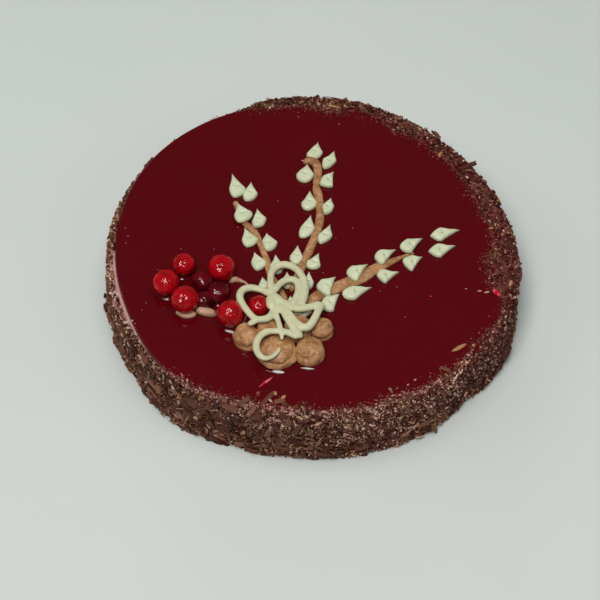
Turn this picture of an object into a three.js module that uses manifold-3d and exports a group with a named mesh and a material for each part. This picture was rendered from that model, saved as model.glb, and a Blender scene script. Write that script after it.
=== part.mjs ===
// A round jelly-glazed party cake, uncut, in millimetres with +Z up.
// The origin is the middle of the flat underside. The front of the cake is towards -Y.
//
// From the bottom up: the body in its coat of chocolate crumbs and flakes, a pale layer of
// berry cream that shows as a thin band at the left, the dark jelly glaze, and the piped
// decoration on it: three branches with leaves, a bunch of berries, a row of cocoa-cream
// dollops and a lattice of looped strands that rests on them.

import * as THREE from 'three';
import { mergeVertices } from 'three/addons/utils/BufferGeometryUtils.js';
import Module from 'manifold-3d';

const wasm = await Module();
wasm.setup();

// ---------------------------------------------------------------- driving dimensions

const GLAZE_RADIUS = 96.5; // across the width of the cake
const GLAZE_SQUEEZE = 2.8; // the cake is this much shallower at its front and back
const GLAZE_TOP = 35; // height of the glaze's flat top above the underside
const GLAZE_THICKNESS = 2.5;

const CREAM_THICKNESS = 4;
const CREAM_SHOWS = 1.4; // how far the cream stands out beyond the glaze

const COAT_FOOT = 102; // radius of the crumb coat where it meets the table, at the sides
const COAT_FOOT_SQUEEZE = 4.5; // and this much less at the front and back
const COAT_BUMP = 1.0; // half the height of the coat's lumps
const COAT_RIM = 34; // height of the coat's rim, just below the top of the glaze
const COAT_RIM_OVER = 35.2; // the rim where crumbs lie against the edge of the glaze
const COAT_RIM_HIGH = 36.8; // and where they lie heaped over it, at the right and the back

const CLEARANCE = 0.3; // gap between a piece and a neighbour that is fitted round it
const WELD = 0.002; // corners nearer than this are one

const GLAZE_UNDERSIDE = GLAZE_TOP - GLAZE_THICKNESS;
const CREAM_UNDERSIDE = GLAZE_UNDERSIDE - CREAM_THICKNESS;

// Bends of the round outline: at which degrees, how far to each side, how far out.
const EDGE_DENT = { at: 33, spread: 62, out: -5.6 }; // the flattened back right
const GLAZE_SWELL = { at: 143, spread: 50, out: 1.9 };
const GLAZE_DRIP = { at: -130, spread: 30, out: 3.6 };
const FOOT_BENDS = [
  { at: -129, spread: 19, out: 3.8 },
  { at: -43, spread: 12, out: -3.4 },
];

// How far in over the glaze the crumbs lie: degrees round from +X, and the radius there.
const CRUMB_EDGE = [
  [-114, 98],
  [-109, 94.4],
  [-97, 93.4],
  [-92, 92.6],
  [-85, 94],
  [-75, 95],
  [-66, 92.3],
  [-60, 94.4],
  [-54, 95.6],
  [-42, 95],
  [-35, 93.6],
  [-25, 96.5],
  [-18, 95.8],
  [-13, 86],
  [-3, 84],
  [4, 87.4],
  [12, 87],
  [17, 84.8],
  [27, 85.8],
  [44, 86.2],
  [56, 87],
  [63, 85],
  [72, 90.6],
  [78, 91],
  [83, 87],
  [88, 87.4],
  [93, 90],
  [109, 92.6],
  [114, 97],
];
const HIGH_RIM = { from: -17, to: 114 }; // where they are heaped up
// Stretches where the rim is lower, so that the band of cream shows under the glaze.
const BARE_CREAM = [
  { from: -178, to: -120, lower: 2.9 },
  { from: 118, to: 172, lower: 1.8 },
];
const EDGE_FADE = 8; // degrees over which such a stretch comes and goes

// ---------------------------------------------------------------- helpers

const radians = (degrees) => (degrees * Math.PI) / 180;

// A seeded draw, so that the cake comes out the same each time.
function dice(seed) {
  let state = seed >>> 0;
  return (low = 0, high = 1) => {
    state = (state + 0x6d2b79f5) >>> 0;
    let t = state;
    t = Math.imul(t ^ (t >>> 15), t | 1);
    t ^= t + Math.imul(t ^ (t >>> 7), t | 61);
    return low + ((high - low) * ((t ^ (t >>> 14)) >>> 0)) / 4294967296;
  };
}

// 1 at the middle of a bump, falling smoothly to 0 at its spread on either side.
function bump(offset, spread) {
  const away = Math.abs(offset) / spread;
  return away >= 1 ? 0 : 0.5 + 0.5 * Math.cos(Math.PI * away);
}

// The shortest way round from one direction to another, in degrees.
function turnBetween(from, to) {
  return ((((to - from) % 360) + 540) % 360) - 180;
}

// 0 outside a stretch of the edge, 1 well inside it.
function inStretch(degrees, { from, to }) {
  const middle = (from + to) / 2;
  const away = Math.abs(turnBetween(middle, degrees)) - (to - from) / 2;
  return 1 - THREE.MathUtils.smoothstep(away, -EDGE_FADE / 2, EDGE_FADE / 2);
}

function closedGeometry(geometry) {
  geometry.deleteAttribute('normal');
  geometry.deleteAttribute('uv');
  return mergeVertices(geometry);
}

function toSolid(geometry) {
  const closed = closedGeometry(geometry.clone());
  return new wasm.Manifold(
    new wasm.Mesh({
      numProp: 3,
      vertProperties: new Float32Array(closed.attributes.position.array),
      triVerts: new Uint32Array(closed.index.array),
    }),
  );
}

// The largest piece of a solid: a cut can leave loose scraps, which are dropped.
function largest(solid) {
  const pieces = solid.decompose();
  return pieces.reduce((best, piece) => (piece.volume() > best.volume() ? piece : best));
}

// A cut leaves some corners a hair apart. They are welded, and the slivers between go.
function toGeometry(solid) {
  const mesh = solid.getMesh();
  const rough = new THREE.BufferGeometry();
  rough.setAttribute('position', new THREE.BufferAttribute(mesh.vertProperties, 3));
  rough.setIndex(new THREE.BufferAttribute(mesh.triVerts, 1));
  const geometry = mergeVertices(rough, WELD);
  const kept = [];
  for (let i = 0; i < geometry.index.count; i += 3) {
    const [a, b, c] = geometry.index.array.slice(i, i + 3);
    if (a !== b && b !== c && c !== a) kept.push(a, b, c);
  }
  geometry.setIndex(kept);
  geometry.computeVertexNormals();
  return geometry;
}

// Moves every corner of a geometry to where the given function puts it.
function reshape(geometry, place) {
  const corners = geometry.attributes.position;
  const corner = new THREE.Vector3();
  for (let i = 0; i < corners.count; i += 1) {
    corner.fromBufferAttribute(corners, i);
    place(corner);
    corners.setXYZ(i, corner.x, corner.y, corner.z);
  }
  return geometry;
}

// A mound with a flat foot, built up from rings. Each ring has a reach, as a share of the
// outline, and a lift, as a share of the height. The place function turns the direction,
// reach and lift of a corner into its x, y and z.
function mound(segments, rings, place) {
  const rows = rings.length - 1;
  const drum = new THREE.CylinderGeometry(1, 1, 1, segments, rows);
  drum.rotateX(Math.PI / 2);
  return reshape(drum, (corner) => {
    const row = Math.round((corner.z + 0.5) * rows);
    const onAxis = Math.hypot(corner.x, corner.y) < 0.5;
    const [reach, lift] = rings[row];
    const step = Math.round((Math.atan2(corner.x, -corner.y) / (2 * Math.PI)) * segments);
    const segment = (step + segments) % segments;
    const angle = (segment / segments) * 2 * Math.PI;
    place(corner, { angle, reach: onAxis ? 0 : reach, lift, row, segment });
  });
}

// ---------------------------------------------------------------- the cake itself

function bend(degrees, { at, spread, out }) {
  return out * bump(turnBetween(at, degrees), spread);
}

function creamRadius(degrees) {
  const squeeze = GLAZE_SQUEEZE * Math.sin(radians(degrees)) ** 4;
  const bends = bend(degrees, EDGE_DENT) + bend(degrees, GLAZE_SWELL);
  return GLAZE_RADIUS - squeeze + bends + CREAM_SHOWS;
}

function glazeRadius(degrees) {
  return creamRadius(degrees) - CREAM_SHOWS + bend(degrees, GLAZE_DRIP);
}

// How far the crumbs reach in over the glaze, from its edge.
function crumbReach(degrees) {
  const round = turnBetween(0, degrees);
  const next = CRUMB_EDGE.findIndex(([at]) => at > round);
  if (next < 1) return 0;
  const [[from, near], [to, far]] = CRUMB_EDGE.slice(next - 1, next + 1);
  const edge = THREE.MathUtils.mapLinear(round, from, to, near, far);
  return Math.max(0, glazeRadius(degrees) - edge);
}

function coatRim(degrees) {
  const heaped = inStretch(degrees, HIGH_RIM);
  const top = THREE.MathUtils.lerp(COAT_RIM_OVER, COAT_RIM_HIGH, heaped);
  const raised = (top - COAT_RIM) * Math.min(1, crumbReach(degrees) / 1.5);
  const lowered = BARE_CREAM.map((stretch) => stretch.lower * inStretch(degrees, stretch));
  return COAT_RIM + raised - Math.max(...lowered);
}

// The coat's outer radius at a share of the height to its rim.
function coatFoot(degrees, up = 1) {
  const bends = FOOT_BENDS.reduce((sum, one) => sum + bend(degrees, one), 0);
  const squeeze = COAT_FOOT_SQUEEZE * Math.sin(radians(degrees)) ** 2;
  return COAT_FOOT - squeeze + bend(degrees, EDGE_DENT) + bends * (1 - up);
}

// A flat disc with a softened edge, for the glaze and the layer of cream below it.
function disc({ segments, rings, radius, underside, thickness }, grow = 0) {
  return mound(segments, rings, (corner, { angle, reach, lift }) => {
    const wide = (radius(THREE.MathUtils.radToDeg(angle)) + grow) * reach;
    corner.x = wide * Math.cos(angle);
    corner.y = wide * Math.sin(angle);
    corner.z = underside - grow + (thickness + 2 * grow) * lift;
  });
}

const GLAZE = {
  segments: 60,
  rings: [
    [0.994, 0],
    [1, 0.35],
    [0.997, 0.8],
    [0.987, 1],
  ],
  radius: glazeRadius,
  underside: GLAZE_UNDERSIDE,
  thickness: GLAZE_THICKNESS,
};

const CREAM = {
  segments: 60,
  rings: [
    [0.995, 0],
    [1, 0.6],
    [0.992, 1],
  ],
  radius: creamRadius,
  underside: CREAM_UNDERSIDE,
  thickness: CREAM_THICKNESS - CLEARANCE,
};

// The coat's outer wall: share of the height to the rim, and how far it is drawn in there.
const COAT_WALL = [
  { up: 0.0, inward: 0.9 },
  { up: 0.08, inward: 0.0 },
  { up: 0.27, inward: 1.1 },
  { up: 0.5, inward: 1.4 },
  { up: 0.74, inward: 1.5 },
  { up: 0.93, inward: 1.9 },
];
const COAT_SEGMENTS = 84;

function coatBlank() {
  const roll = dice(7);
  const rows = COAT_WALL.length + 3;
  const lumps = Array.from({ length: rows * COAT_SEGMENTS }, () => roll(-1, 1));
  const rings = Array.from({ length: rows }, () => [1, 0]);
  return mound(COAT_SEGMENTS, rings, (corner, { angle, reach, row, segment }) => {
    const degrees = THREE.MathUtils.radToDeg(angle);
    const over = crumbReach(degrees);
    const rim = coatRim(degrees);
    const lump = lumps[row * COAT_SEGMENTS + segment] * COAT_BUMP;
    const inner = glazeRadius(degrees) - Math.max(over, 2);
    let wide;
    if (row < COAT_WALL.length) {
      const { up, inward } = COAT_WALL[row];
      wide = coatFoot(degrees, up) - inward + lump;
      corner.z = up * rim;
    } else if (row === COAT_WALL.length) {
      wide = coatFoot(degrees) - 3.1 + lump * 0.4;
      corner.z = rim + lump * 0.5;
    } else if (row === COAT_WALL.length + 1) {
      wide = inner + lump * (over > 2 ? 1.4 : 0);
      corner.z = rim - 0.4;
    } else {
      wide = inner - 0.6;
      corner.z = CREAM_UNDERSIDE;
    }
    wide *= reach > 0 ? 1 : 0;
    corner.x = wide * Math.cos(angle);
    corner.y = wide * Math.sin(angle);
  });
}

// One flake of chocolate: a thin four-sided chip, lying in its own XY plane.
function flakeChip(length, width, thickness, roll) {
  const outline = new THREE.Shape([
    new THREE.Vector2(-length / 2, -width * roll(0.2, 0.5)),
    new THREE.Vector2(length * roll(0.25, 0.5), -width / 2),
    new THREE.Vector2(length / 2, width * roll(0.1, 0.5)),
    new THREE.Vector2(-length * roll(0.2, 0.5), width / 2),
  ]);
  const chip = new THREE.ExtrudeGeometry(outline, { depth: thickness, bevelEnabled: false });
  return chip.translate(0, 0, -thickness / 2);
}

// Where the flakes lie: on the wall, round the foot, and on the rim. They are largest at
// the front left and finer at the front right.
const FLAKES = { wall: 48, foot: 18, rim: 20 };
const GOLDEN_TURN = 137.508;

function flakeSize(degrees, roll) {
  const coarse = 0.75 + 0.45 * bump(turnBetween(-140, degrees), 70);
  const strip = roll() < 0.3;
  const length = coarse * (strip ? roll(9, 12) : roll(5, 8));
  return { length, width: coarse * (strip ? roll(2.0, 2.8) : roll(3.2, 5)), thickness: 1.3 };
}

function flakes() {
  const roll = dice(19);
  const chips = [];
  const put = (degrees, radius, height, lean, spin) => {
    const { length, width, thickness } = flakeSize(degrees, roll);
    const chip = flakeChip(length, width, thickness, roll);
    chip.rotateZ(radians(spin));
    chip.rotateY(radians(lean));
    chip.rotateX(radians(roll(-18, 18)));
    chip.translate(radius, 0, height);
    chips.push(chip.rotateZ(radians(degrees)));
  };
  for (let i = 0; i < FLAKES.wall; i += 1) {
    const degrees = i * GOLDEN_TURN;
    const height = 5 + 23 * ((i * 0.618) % 1);
    const wide = coatFoot(degrees, height / COAT_RIM) - 0.3;
    put(degrees, wide, height, roll(58, 116), roll(-80, 80));
  }
  for (let i = 0; i < FLAKES.foot; i += 1) {
    const degrees = (i * 360) / FLAKES.foot + roll(-6, 6);
    const wide = coatFoot(degrees, 0) + 0.1;
    put(degrees, wide, roll(3.2, 4.8), roll(30, 60), roll(60, 120));
  }
  for (let i = 0; i < FLAKES.rim; i += 1) {
    const degrees = i * GOLDEN_TURN + 20;
    const over = crumbReach(degrees);
    const high = over > 1;
    const radius = high ? glazeRadius(degrees) - over * roll(0.1, 0.7) : coatFoot(degrees) - 2.4;
    const height = coatRim(degrees) + (high ? 0.3 : -0.8);
    put(degrees, radius, height, high ? roll(-15, 15) : roll(50, 80), roll(0, 180));
  }
  return chips;
}

// The crumb-coated body, with room inside for the cream and the glaze above it.
function cakeSolid() {
  let solid = toSolid(coatBlank());
  for (const chip of flakes()) solid = solid.add(toSolid(chip));
  const floor = new THREE.BoxGeometry(400, 400, 40).translate(0, 0, -20);
  return largest(
    solid
      .subtract(toSolid(floor))
      .subtract(toSolid(disc(CREAM, CLEARANCE)))
      .subtract(toSolid(disc(GLAZE, CLEARANCE))),
  );
}

// ---------------------------------------------------------------- piped decoration
// Each maker below gives a piece on the plane z = 0, the top of the glaze. With grow, the
// piece comes out that much larger all round, as the tool that trims its neighbours.

// A leaf: a kite of cream with its sharp tip towards +X and its heel at the origin. Left and
// right give how far each side stands out from the line between them, and where along it
// that side is widest. A leaf that lies over a stem stands that much higher all over.
const LEAF_RINGS = [
  [0.96, 0],
  [1, 0.26],
  [0.6, 0.84],
];
const LEAF_HEIGHT = 3.2;
const OVER_STEM = 1.8;
const LEAF_BELLY = 0.38; // where along the leaf it is highest
const LEAF_FULLNESS = 0.85; // below 1 the sides bulge on their way to the tip

// How wide a side is at a share of the leaf's length, against its widest place.
function leafSide(share, widest) {
  const heel = (LEAF_FULLNESS * widest) / (1 - widest);
  return (share / widest) ** heel * ((1 - share) / (1 - widest)) ** LEAF_FULLNESS;
}

function leaf({ length, left, right, over = 0 }, grow = 0) {
  const belly = LEAF_BELLY * length;
  const middle = (left[0] - right[0]) / 2;
  return mound(10, LEAF_RINGS, (corner, { angle, reach, lift, segment }) => {
    const share = (1 + Math.cos(angle)) / 2;
    const [wide, widest] = segment < 5 ? left : right;
    const onLine = segment % 5 === 0;
    const half = onLine ? 0 : (wide + grow) * leafSide(share, widest);
    const along = (length + 2 * grow) * share - grow;
    const across = segment < 5 ? half : -half;
    corner.x = belly + (along - belly) * reach;
    corner.y = middle + (across - middle) * reach;
    const tip = Math.max(0, corner.x / length - 0.6);
    corner.z = lift === 0 ? -grow : (LEAF_HEIGHT * (1 - 0.5 * tip) + grow) * lift + over;
  });
}

// A berry: a slightly uneven ball with a small flat where it rests.
const BERRY_FLAT = 0.9;

function berry({ radius, squash = 1 }, grow = 0) {
  const ball = new THREE.SphereGeometry(1, 12, 6).rotateX(Math.PI / 2);
  return reshape(ball, (corner) => {
    corner.z = Math.max(corner.z, -BERRY_FLAT) + BERRY_FLAT;
    corner.x *= radius + grow;
    corner.y *= (radius + grow) * (0.96 + 0.04 * squash);
    corner.z = corner.z * (radius * squash + grow) - (grow > 0 ? grow : 0);
  });
}

// A dollop: cocoa cream piped with a twist, so that soft ridges wind up to its peak.
const DOLLOP_RINGS = [
  [0.92, 0],
  [1, 0.2],
  [0.94, 0.48],
  [0.74, 0.76],
  [0.42, 0.95],
];
const DOLLOP_RIDGES = 5;
const DOLLOP_RIDGE_DEPTH = 0.07;
const DOLLOP_TWIST = 1.5; // radians from foot to peak

function dollop({ radius, height, long = 1 }, grow = 0) {
  return mound(20, DOLLOP_RINGS, (corner, { angle, reach, lift }) => {
    const ridge = 1 + DOLLOP_RIDGE_DEPTH * Math.cos(DOLLOP_RIDGES * (angle - DOLLOP_TWIST * lift));
    const wide = (radius * ridge + grow) * reach;
    corner.x = wide * Math.cos(angle) * long;
    corner.y = wide * Math.sin(angle);
    corner.z = lift === 0 ? -grow : lift * height + grow;
  });
}

// A stroke of cream piped on the glaze along a curve, flat below and rounded above. Each
// stop gives x, y and the stroke's width there.
function stroke({ stops, height, steps, sides = 6 }, grow = 0) {
  const route = new THREE.CatmullRomCurve3(
    stops.map(([x, y, width]) => new THREE.Vector3(x, y, width)),
    false,
    'centripetal',
  );
  const bar = new THREE.CylinderGeometry(1, 1, 1, sides, steps).rotateX(Math.PI / 2);
  return reshape(bar, (corner) => {
    const share = Math.round((corner.z + 0.5) * steps) / steps;
    const at = route.getPoint(share);
    const ahead = route.getTangent(share).setZ(0).normalize();
    const roundEnd = Math.min(1, Math.sqrt(0.3 + 6 * Math.min(share, 1 - share)));
    const half = (at.z / 2) * roundEnd + grow;
    const aside = corner.x * half;
    const up = Math.max(0, corner.y) * (height * Math.min(1, 0.45 + at.z / 6) + grow);
    const endShift = share === 0 ? -grow : share === 1 ? grow : 0;
    corner.z = corner.y < -0.1 ? -grow : up + (Math.abs(corner.y) < 0.1 ? height * 0.3 : 0);
    corner.x = at.x - ahead.y * aside + ahead.x * endShift;
    corner.y = at.y + ahead.x * aside + ahead.y * endShift;
  });
}

// A strand of the lattice: a rounded thread through the air along a curve. Each stop gives
// x, y, z and the strand's width there.
const STRAND_FLATNESS = 0.82; // its height as a share of its width
const STRAND_SIDES = 6;
const STRAND_STEP = 3.9;

function strand(stops) {
  const route = new THREE.CatmullRomCurve3(
    stops.map(([x, y, z]) => new THREE.Vector3(x, y, z)),
    false,
    'centripetal',
  );
  const widthAt = (share) => {
    const stop = route.getUtoTmapping(share) * (stops.length - 1);
    const before = Math.min(Math.floor(stop), stops.length - 2);
    return THREE.MathUtils.lerp(stops[before][3], stops[before + 1][3], stop - before);
  };
  const steps = Math.max(3, Math.round(route.getLength() / STRAND_STEP));
  const bar = new THREE.CylinderGeometry(1, 1, 1, STRAND_SIDES, steps).rotateX(Math.PI / 2);
  return reshape(bar, (corner) => {
    const share = Math.round((corner.z + 0.5) * steps) / steps;
    const at = route.getPointAt(share);
    const ahead = route.getTangentAt(share).setZ(0).normalize();
    const end = Math.min(share, 1 - share) * steps;
    const radius = (widthAt(share) / 2) * Math.min(1, 0.72 + 0.28 * end);
    const aside = corner.x * radius;
    corner.z = at.z + corner.y * radius * STRAND_FLATNESS;
    corner.x = at.x - ahead.y * aside;
    corner.y = at.y + ahead.x * aside;
  });
}

// ---------------------------------------------------------------- where the pieces lie
// x and y from the middle of the cake, and the direction a leaf's tip points in degrees.

const LEAVES = {
  // the branch at the left, from its far end in
  a01: { at: [-40.0, 28.1], points: 98, length: 15.3, left: [2.4, 0.37], right: [5.9, 0.33] },
  a02: { at: [-34.1, 26.1], points: 83, length: 12.7, left: [2.6, 0.29], right: [4.6, 0.43] },
  a03: {
    at: [-36.8, 11.3], points: 98, length: 12.4, left: [2.5, 0.37],
    right: [6.6, 0.44], over: OVER_STEM,
  },
  a04: { at: [-29.0, 9.9], points: 90, length: 12.0, left: [2.2, 0.35], right: [4.9, 0.48] },
  a05: { at: [-32.7, -2.0], points: 99, length: 11.9, left: [2.2, 0.4], right: [5.7, 0.37] },
  a06: { at: [-22.7, -4.1], points: 96, length: 11.2, left: [2.5, 0.58], right: [4.9, 0.46] },
  a07: { at: [-27.1, -15.9], points: 102, length: 11.5, left: [2.5, 0.46], right: [4.9, 0.4] },
  a08: { at: [-18.0, -17.6], points: 95, length: 12.0, left: [3.4, 0.38], right: [3.6, 0.38] },
  a09: { at: [-23.4, -27.4], points: 101, length: 8.4, left: [2.6, 0.38], right: [2.6, 0.38] },
  a10: { at: [-13.0, -25.9], points: 91, length: 10.1, left: [3.2, 0.38], right: [3.2, 0.38] },
  // the branch in the middle
  b01: { at: [-3.2, 53.9], points: 74, length: 12.0, left: [3.2, 0.23], right: [4.5, 0.49] },
  b02: { at: [3.4, 47.7], points: 67, length: 13.2, left: [2.9, 0.41], right: [3.5, 0.58] },
  b03: { at: [-6.4, 38.8], points: 83, length: 12.3, left: [4.6, 0.36], right: [4.4, 0.48] },
  b04: { at: [1.6, 37.5], points: 53, length: 11.4, left: [2.2, 0.51], right: [5.6, 0.29] },
  b05: { at: [-4.5, 21.3], points: 85, length: 12.9, left: [3.3, 0.33], right: [4.5, 0.43] },
  b06: { at: [4.4, 19.1], points: 76, length: 11.3, left: [2.9, 0.44], right: [3.2, 0.54] },
  b07: { at: [-7.3, 4.6], points: 71, length: 15.0, left: [2.2, 0.42], right: [5.0, 0.51] },
  b08: { at: [2.2, 1.3], points: 68, length: 13.0, left: [3.0, 0.36], right: [3.8, 0.54] },
  b09: { at: [-9.0, -11.7], points: 87, length: 12.0, left: [3.5, 0.35], right: [3.3, 0.37] },
  b10: { at: [-3.3, -13.6], points: 60, length: 10.6, left: [2.6, 0.31], right: [4.5, 0.43] },
  b11: { at: [-3.2, -26.2], points: 87, length: 10.9, left: [2.2, 0.47], right: [2.8, 0.4] },
  // the branch at the right
  c01: { at: [55.5, 7.7], points: 17, length: 15.3, left: [3.4, 0.41], right: [4.1, 0.31] },
  c02: { at: [54.4, -1.7], points: 17, length: 14.0, left: [3.1, 0.43], right: [4.8, 0.36] },
  c03: {
    at: [40.8, -1.4], points: 30, length: 12.7, left: [2.9, 0.45],
    right: [4.7, 0.31], over: OVER_STEM,
  },
  c04: { at: [42.0, -8.1], points: 19, length: 10.4, left: [2.2, 0.49], right: [6.6, 0.28] },
  c05: { at: [28.7, -8.4], points: 31, length: 11.8, left: [3.2, 0.4], right: [4.6, 0.2], over: OVER_STEM },
  c06: { at: [29.5, -16.9], points: 13, length: 11.1, left: [3.0, 0.27], right: [5.2, 0.31] },
  c07: {
    at: [15.4, -18.1], points: 34, length: 12.1, left: [3.1, 0.41],
    right: [5.7, 0.2], over: OVER_STEM,
  },
  c08: { at: [13.2, -28.3], points: 18, length: 15.0, left: [3.0, 0.43], right: [4.8, 0.33] },
  c09: {
    at: [1.5, -27.3], points: 42, length: 11.7, left: [3.2, 0.46],
    right: [6.6, 0.2], over: OVER_STEM,
  },
  c10: { at: [3.8, -37.0], points: 47, length: 12.3, left: [3.5, 0.51], right: [4.8, 0.26] },
  // two short ones under the lattice
  d01: {
    at: [-10.2, -42.1], points: 12, length: 9.6, left: [3.8, 0.48],
    right: [4.3, 0.46], over: OVER_STEM,
  },
  d02: { at: [-10.6, -37.0], points: 95, length: 7.2, left: [2.2, 0.38], right: [2.2, 0.38] },
};

const STEMS = {
  stem_left: {
    stops: [
      [-40.0, 26.4, 3.4],
      [-38.6, 22, 2.6],
      [-34.6, 13, 3.4],
      [-29.8, 7.6, 3.6],
      [-27.2, 1.9, 3.2],
      [-24.8, -4.5, 3.0],
      [-22.6, -11.3, 3.8],
      [-21.2, -17.3, 3.6],
      [-17.8, -24, 3.2],
      [-14.2, -31, 3.2],
      [-13, -41, 3],
    ],
    height: 2.0,
    steps: 17,
  },
  stem_middle: {
    stops: [
      [-6.8, 51.6, 2.6],
      [-3.4, 53.2, 4.2],
      [-0.4, 50.4, 4.6],
      [0.4, 43.7, 4.2],
      [-0.4, 36.2, 3.4],
      [1.2, 29.1, 4.6],
      [1.9, 20.8, 4.2],
      [1.7, 14.2, 4.4],
      [0, 6, 4.2],
      [-2.4, -1.6, 4.4],
      [-5.6, -11.3, 4.2],
      [-8.6, -19.9, 3.8],
      [-11, -27.1, 3.4],
    ],
    height: 2.8,
    steps: 20,
  },
  stem_right: {
    stops: [
      [47.8, -2.4, 1.4],
      [45, -3.4, 1.6],
      [42, -5, 1.8],
      [37, -7.8, 3.4],
      [32, -10.6, 5.2],
      [27, -14, 6],
      [21.5, -18.4, 6.6],
      [15.5, -21.6, 6.8],
      [8, -25.6, 6.2],
      [1, -30, 5.6],
      [-5.4, -36.3, 4.6],
      [-8.6, -41, 3.6],
    ],
    height: 2.0,
    steps: 18,
  },
};

const BERRIES = {
  berry_1: { at: [-62.4, -16.3], radius: 5.6 },
  berry_2: { at: [-70.2, -27.6], radius: 6.4, squash: 0.97 },
  berry_3: { at: [-60.6, -37.3], radius: 6.6 },
  berry_4: { at: [-44.4, -18.3], radius: 6.5, squash: 1.02 },
  berry_5: { at: [-38.9, -44.6], radius: 6.5 },
  berry_6: { at: [-25.8, -38.8], radius: 5.1 },
  dark_berry_1: { at: [-53.2, -25.2], radius: 5.2, squash: 0.94 },
  dark_berry_2: { at: [-45.2, -31.2], radius: 5.3, squash: 0.88 },
  dark_berry_3: { at: [-51.6, -35.2], radius: 4.4, squash: 0.88 },
};

const DOLLOPS = {
  dollop_1: { at: [-30.6, -55], radius: 6.7, height: 7.2, long: 1.12, turn: 120 },
  dollop_2: { at: [-16.2, -63.2], radius: 8.7, height: 8.2, long: 1.1, turn: 5 },
  dollop_3: { at: [-1.7, -62.4], radius: 7.2, height: 8, turn: 70 },
  dollop_4: { at: [3.7, -49.4], radius: 5.9, height: 7, turn: 150 },
  dollop_5: { at: [-21, -50.6], radius: 6.2, height: 7.4, turn: 50 },
  dollop_6: { at: [-7.2, -49.6], radius: 7.0, height: 7.6, turn: 95 },
};

const DABS = {
  dab_front: {
    stops: [
      [-55.6, -39.7, 3.0],
      [-51, -40.6, 4.6],
      [-45.8, -42.2, 3.4],
    ],
    height: 3.2,
    steps: 5,
  },
  dab_back: {
    stops: [
      [-40.6, -22.4, 3.2],
      [-37, -21, 3.4],
      [-33.4, -22.2, 1.6],
      [-30.8, -24.4, 0.9],
    ],
    height: 2.6,
    steps: 6,
  },
  dab_under_berry: {
    stops: [
      [-65.0, -40.4, 1.8],
      [-60.4, -42.6, 3.4],
      [-55.0, -41.4, 3.2],
    ],
    height: 1.9,
    steps: 5,
  },
};

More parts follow.
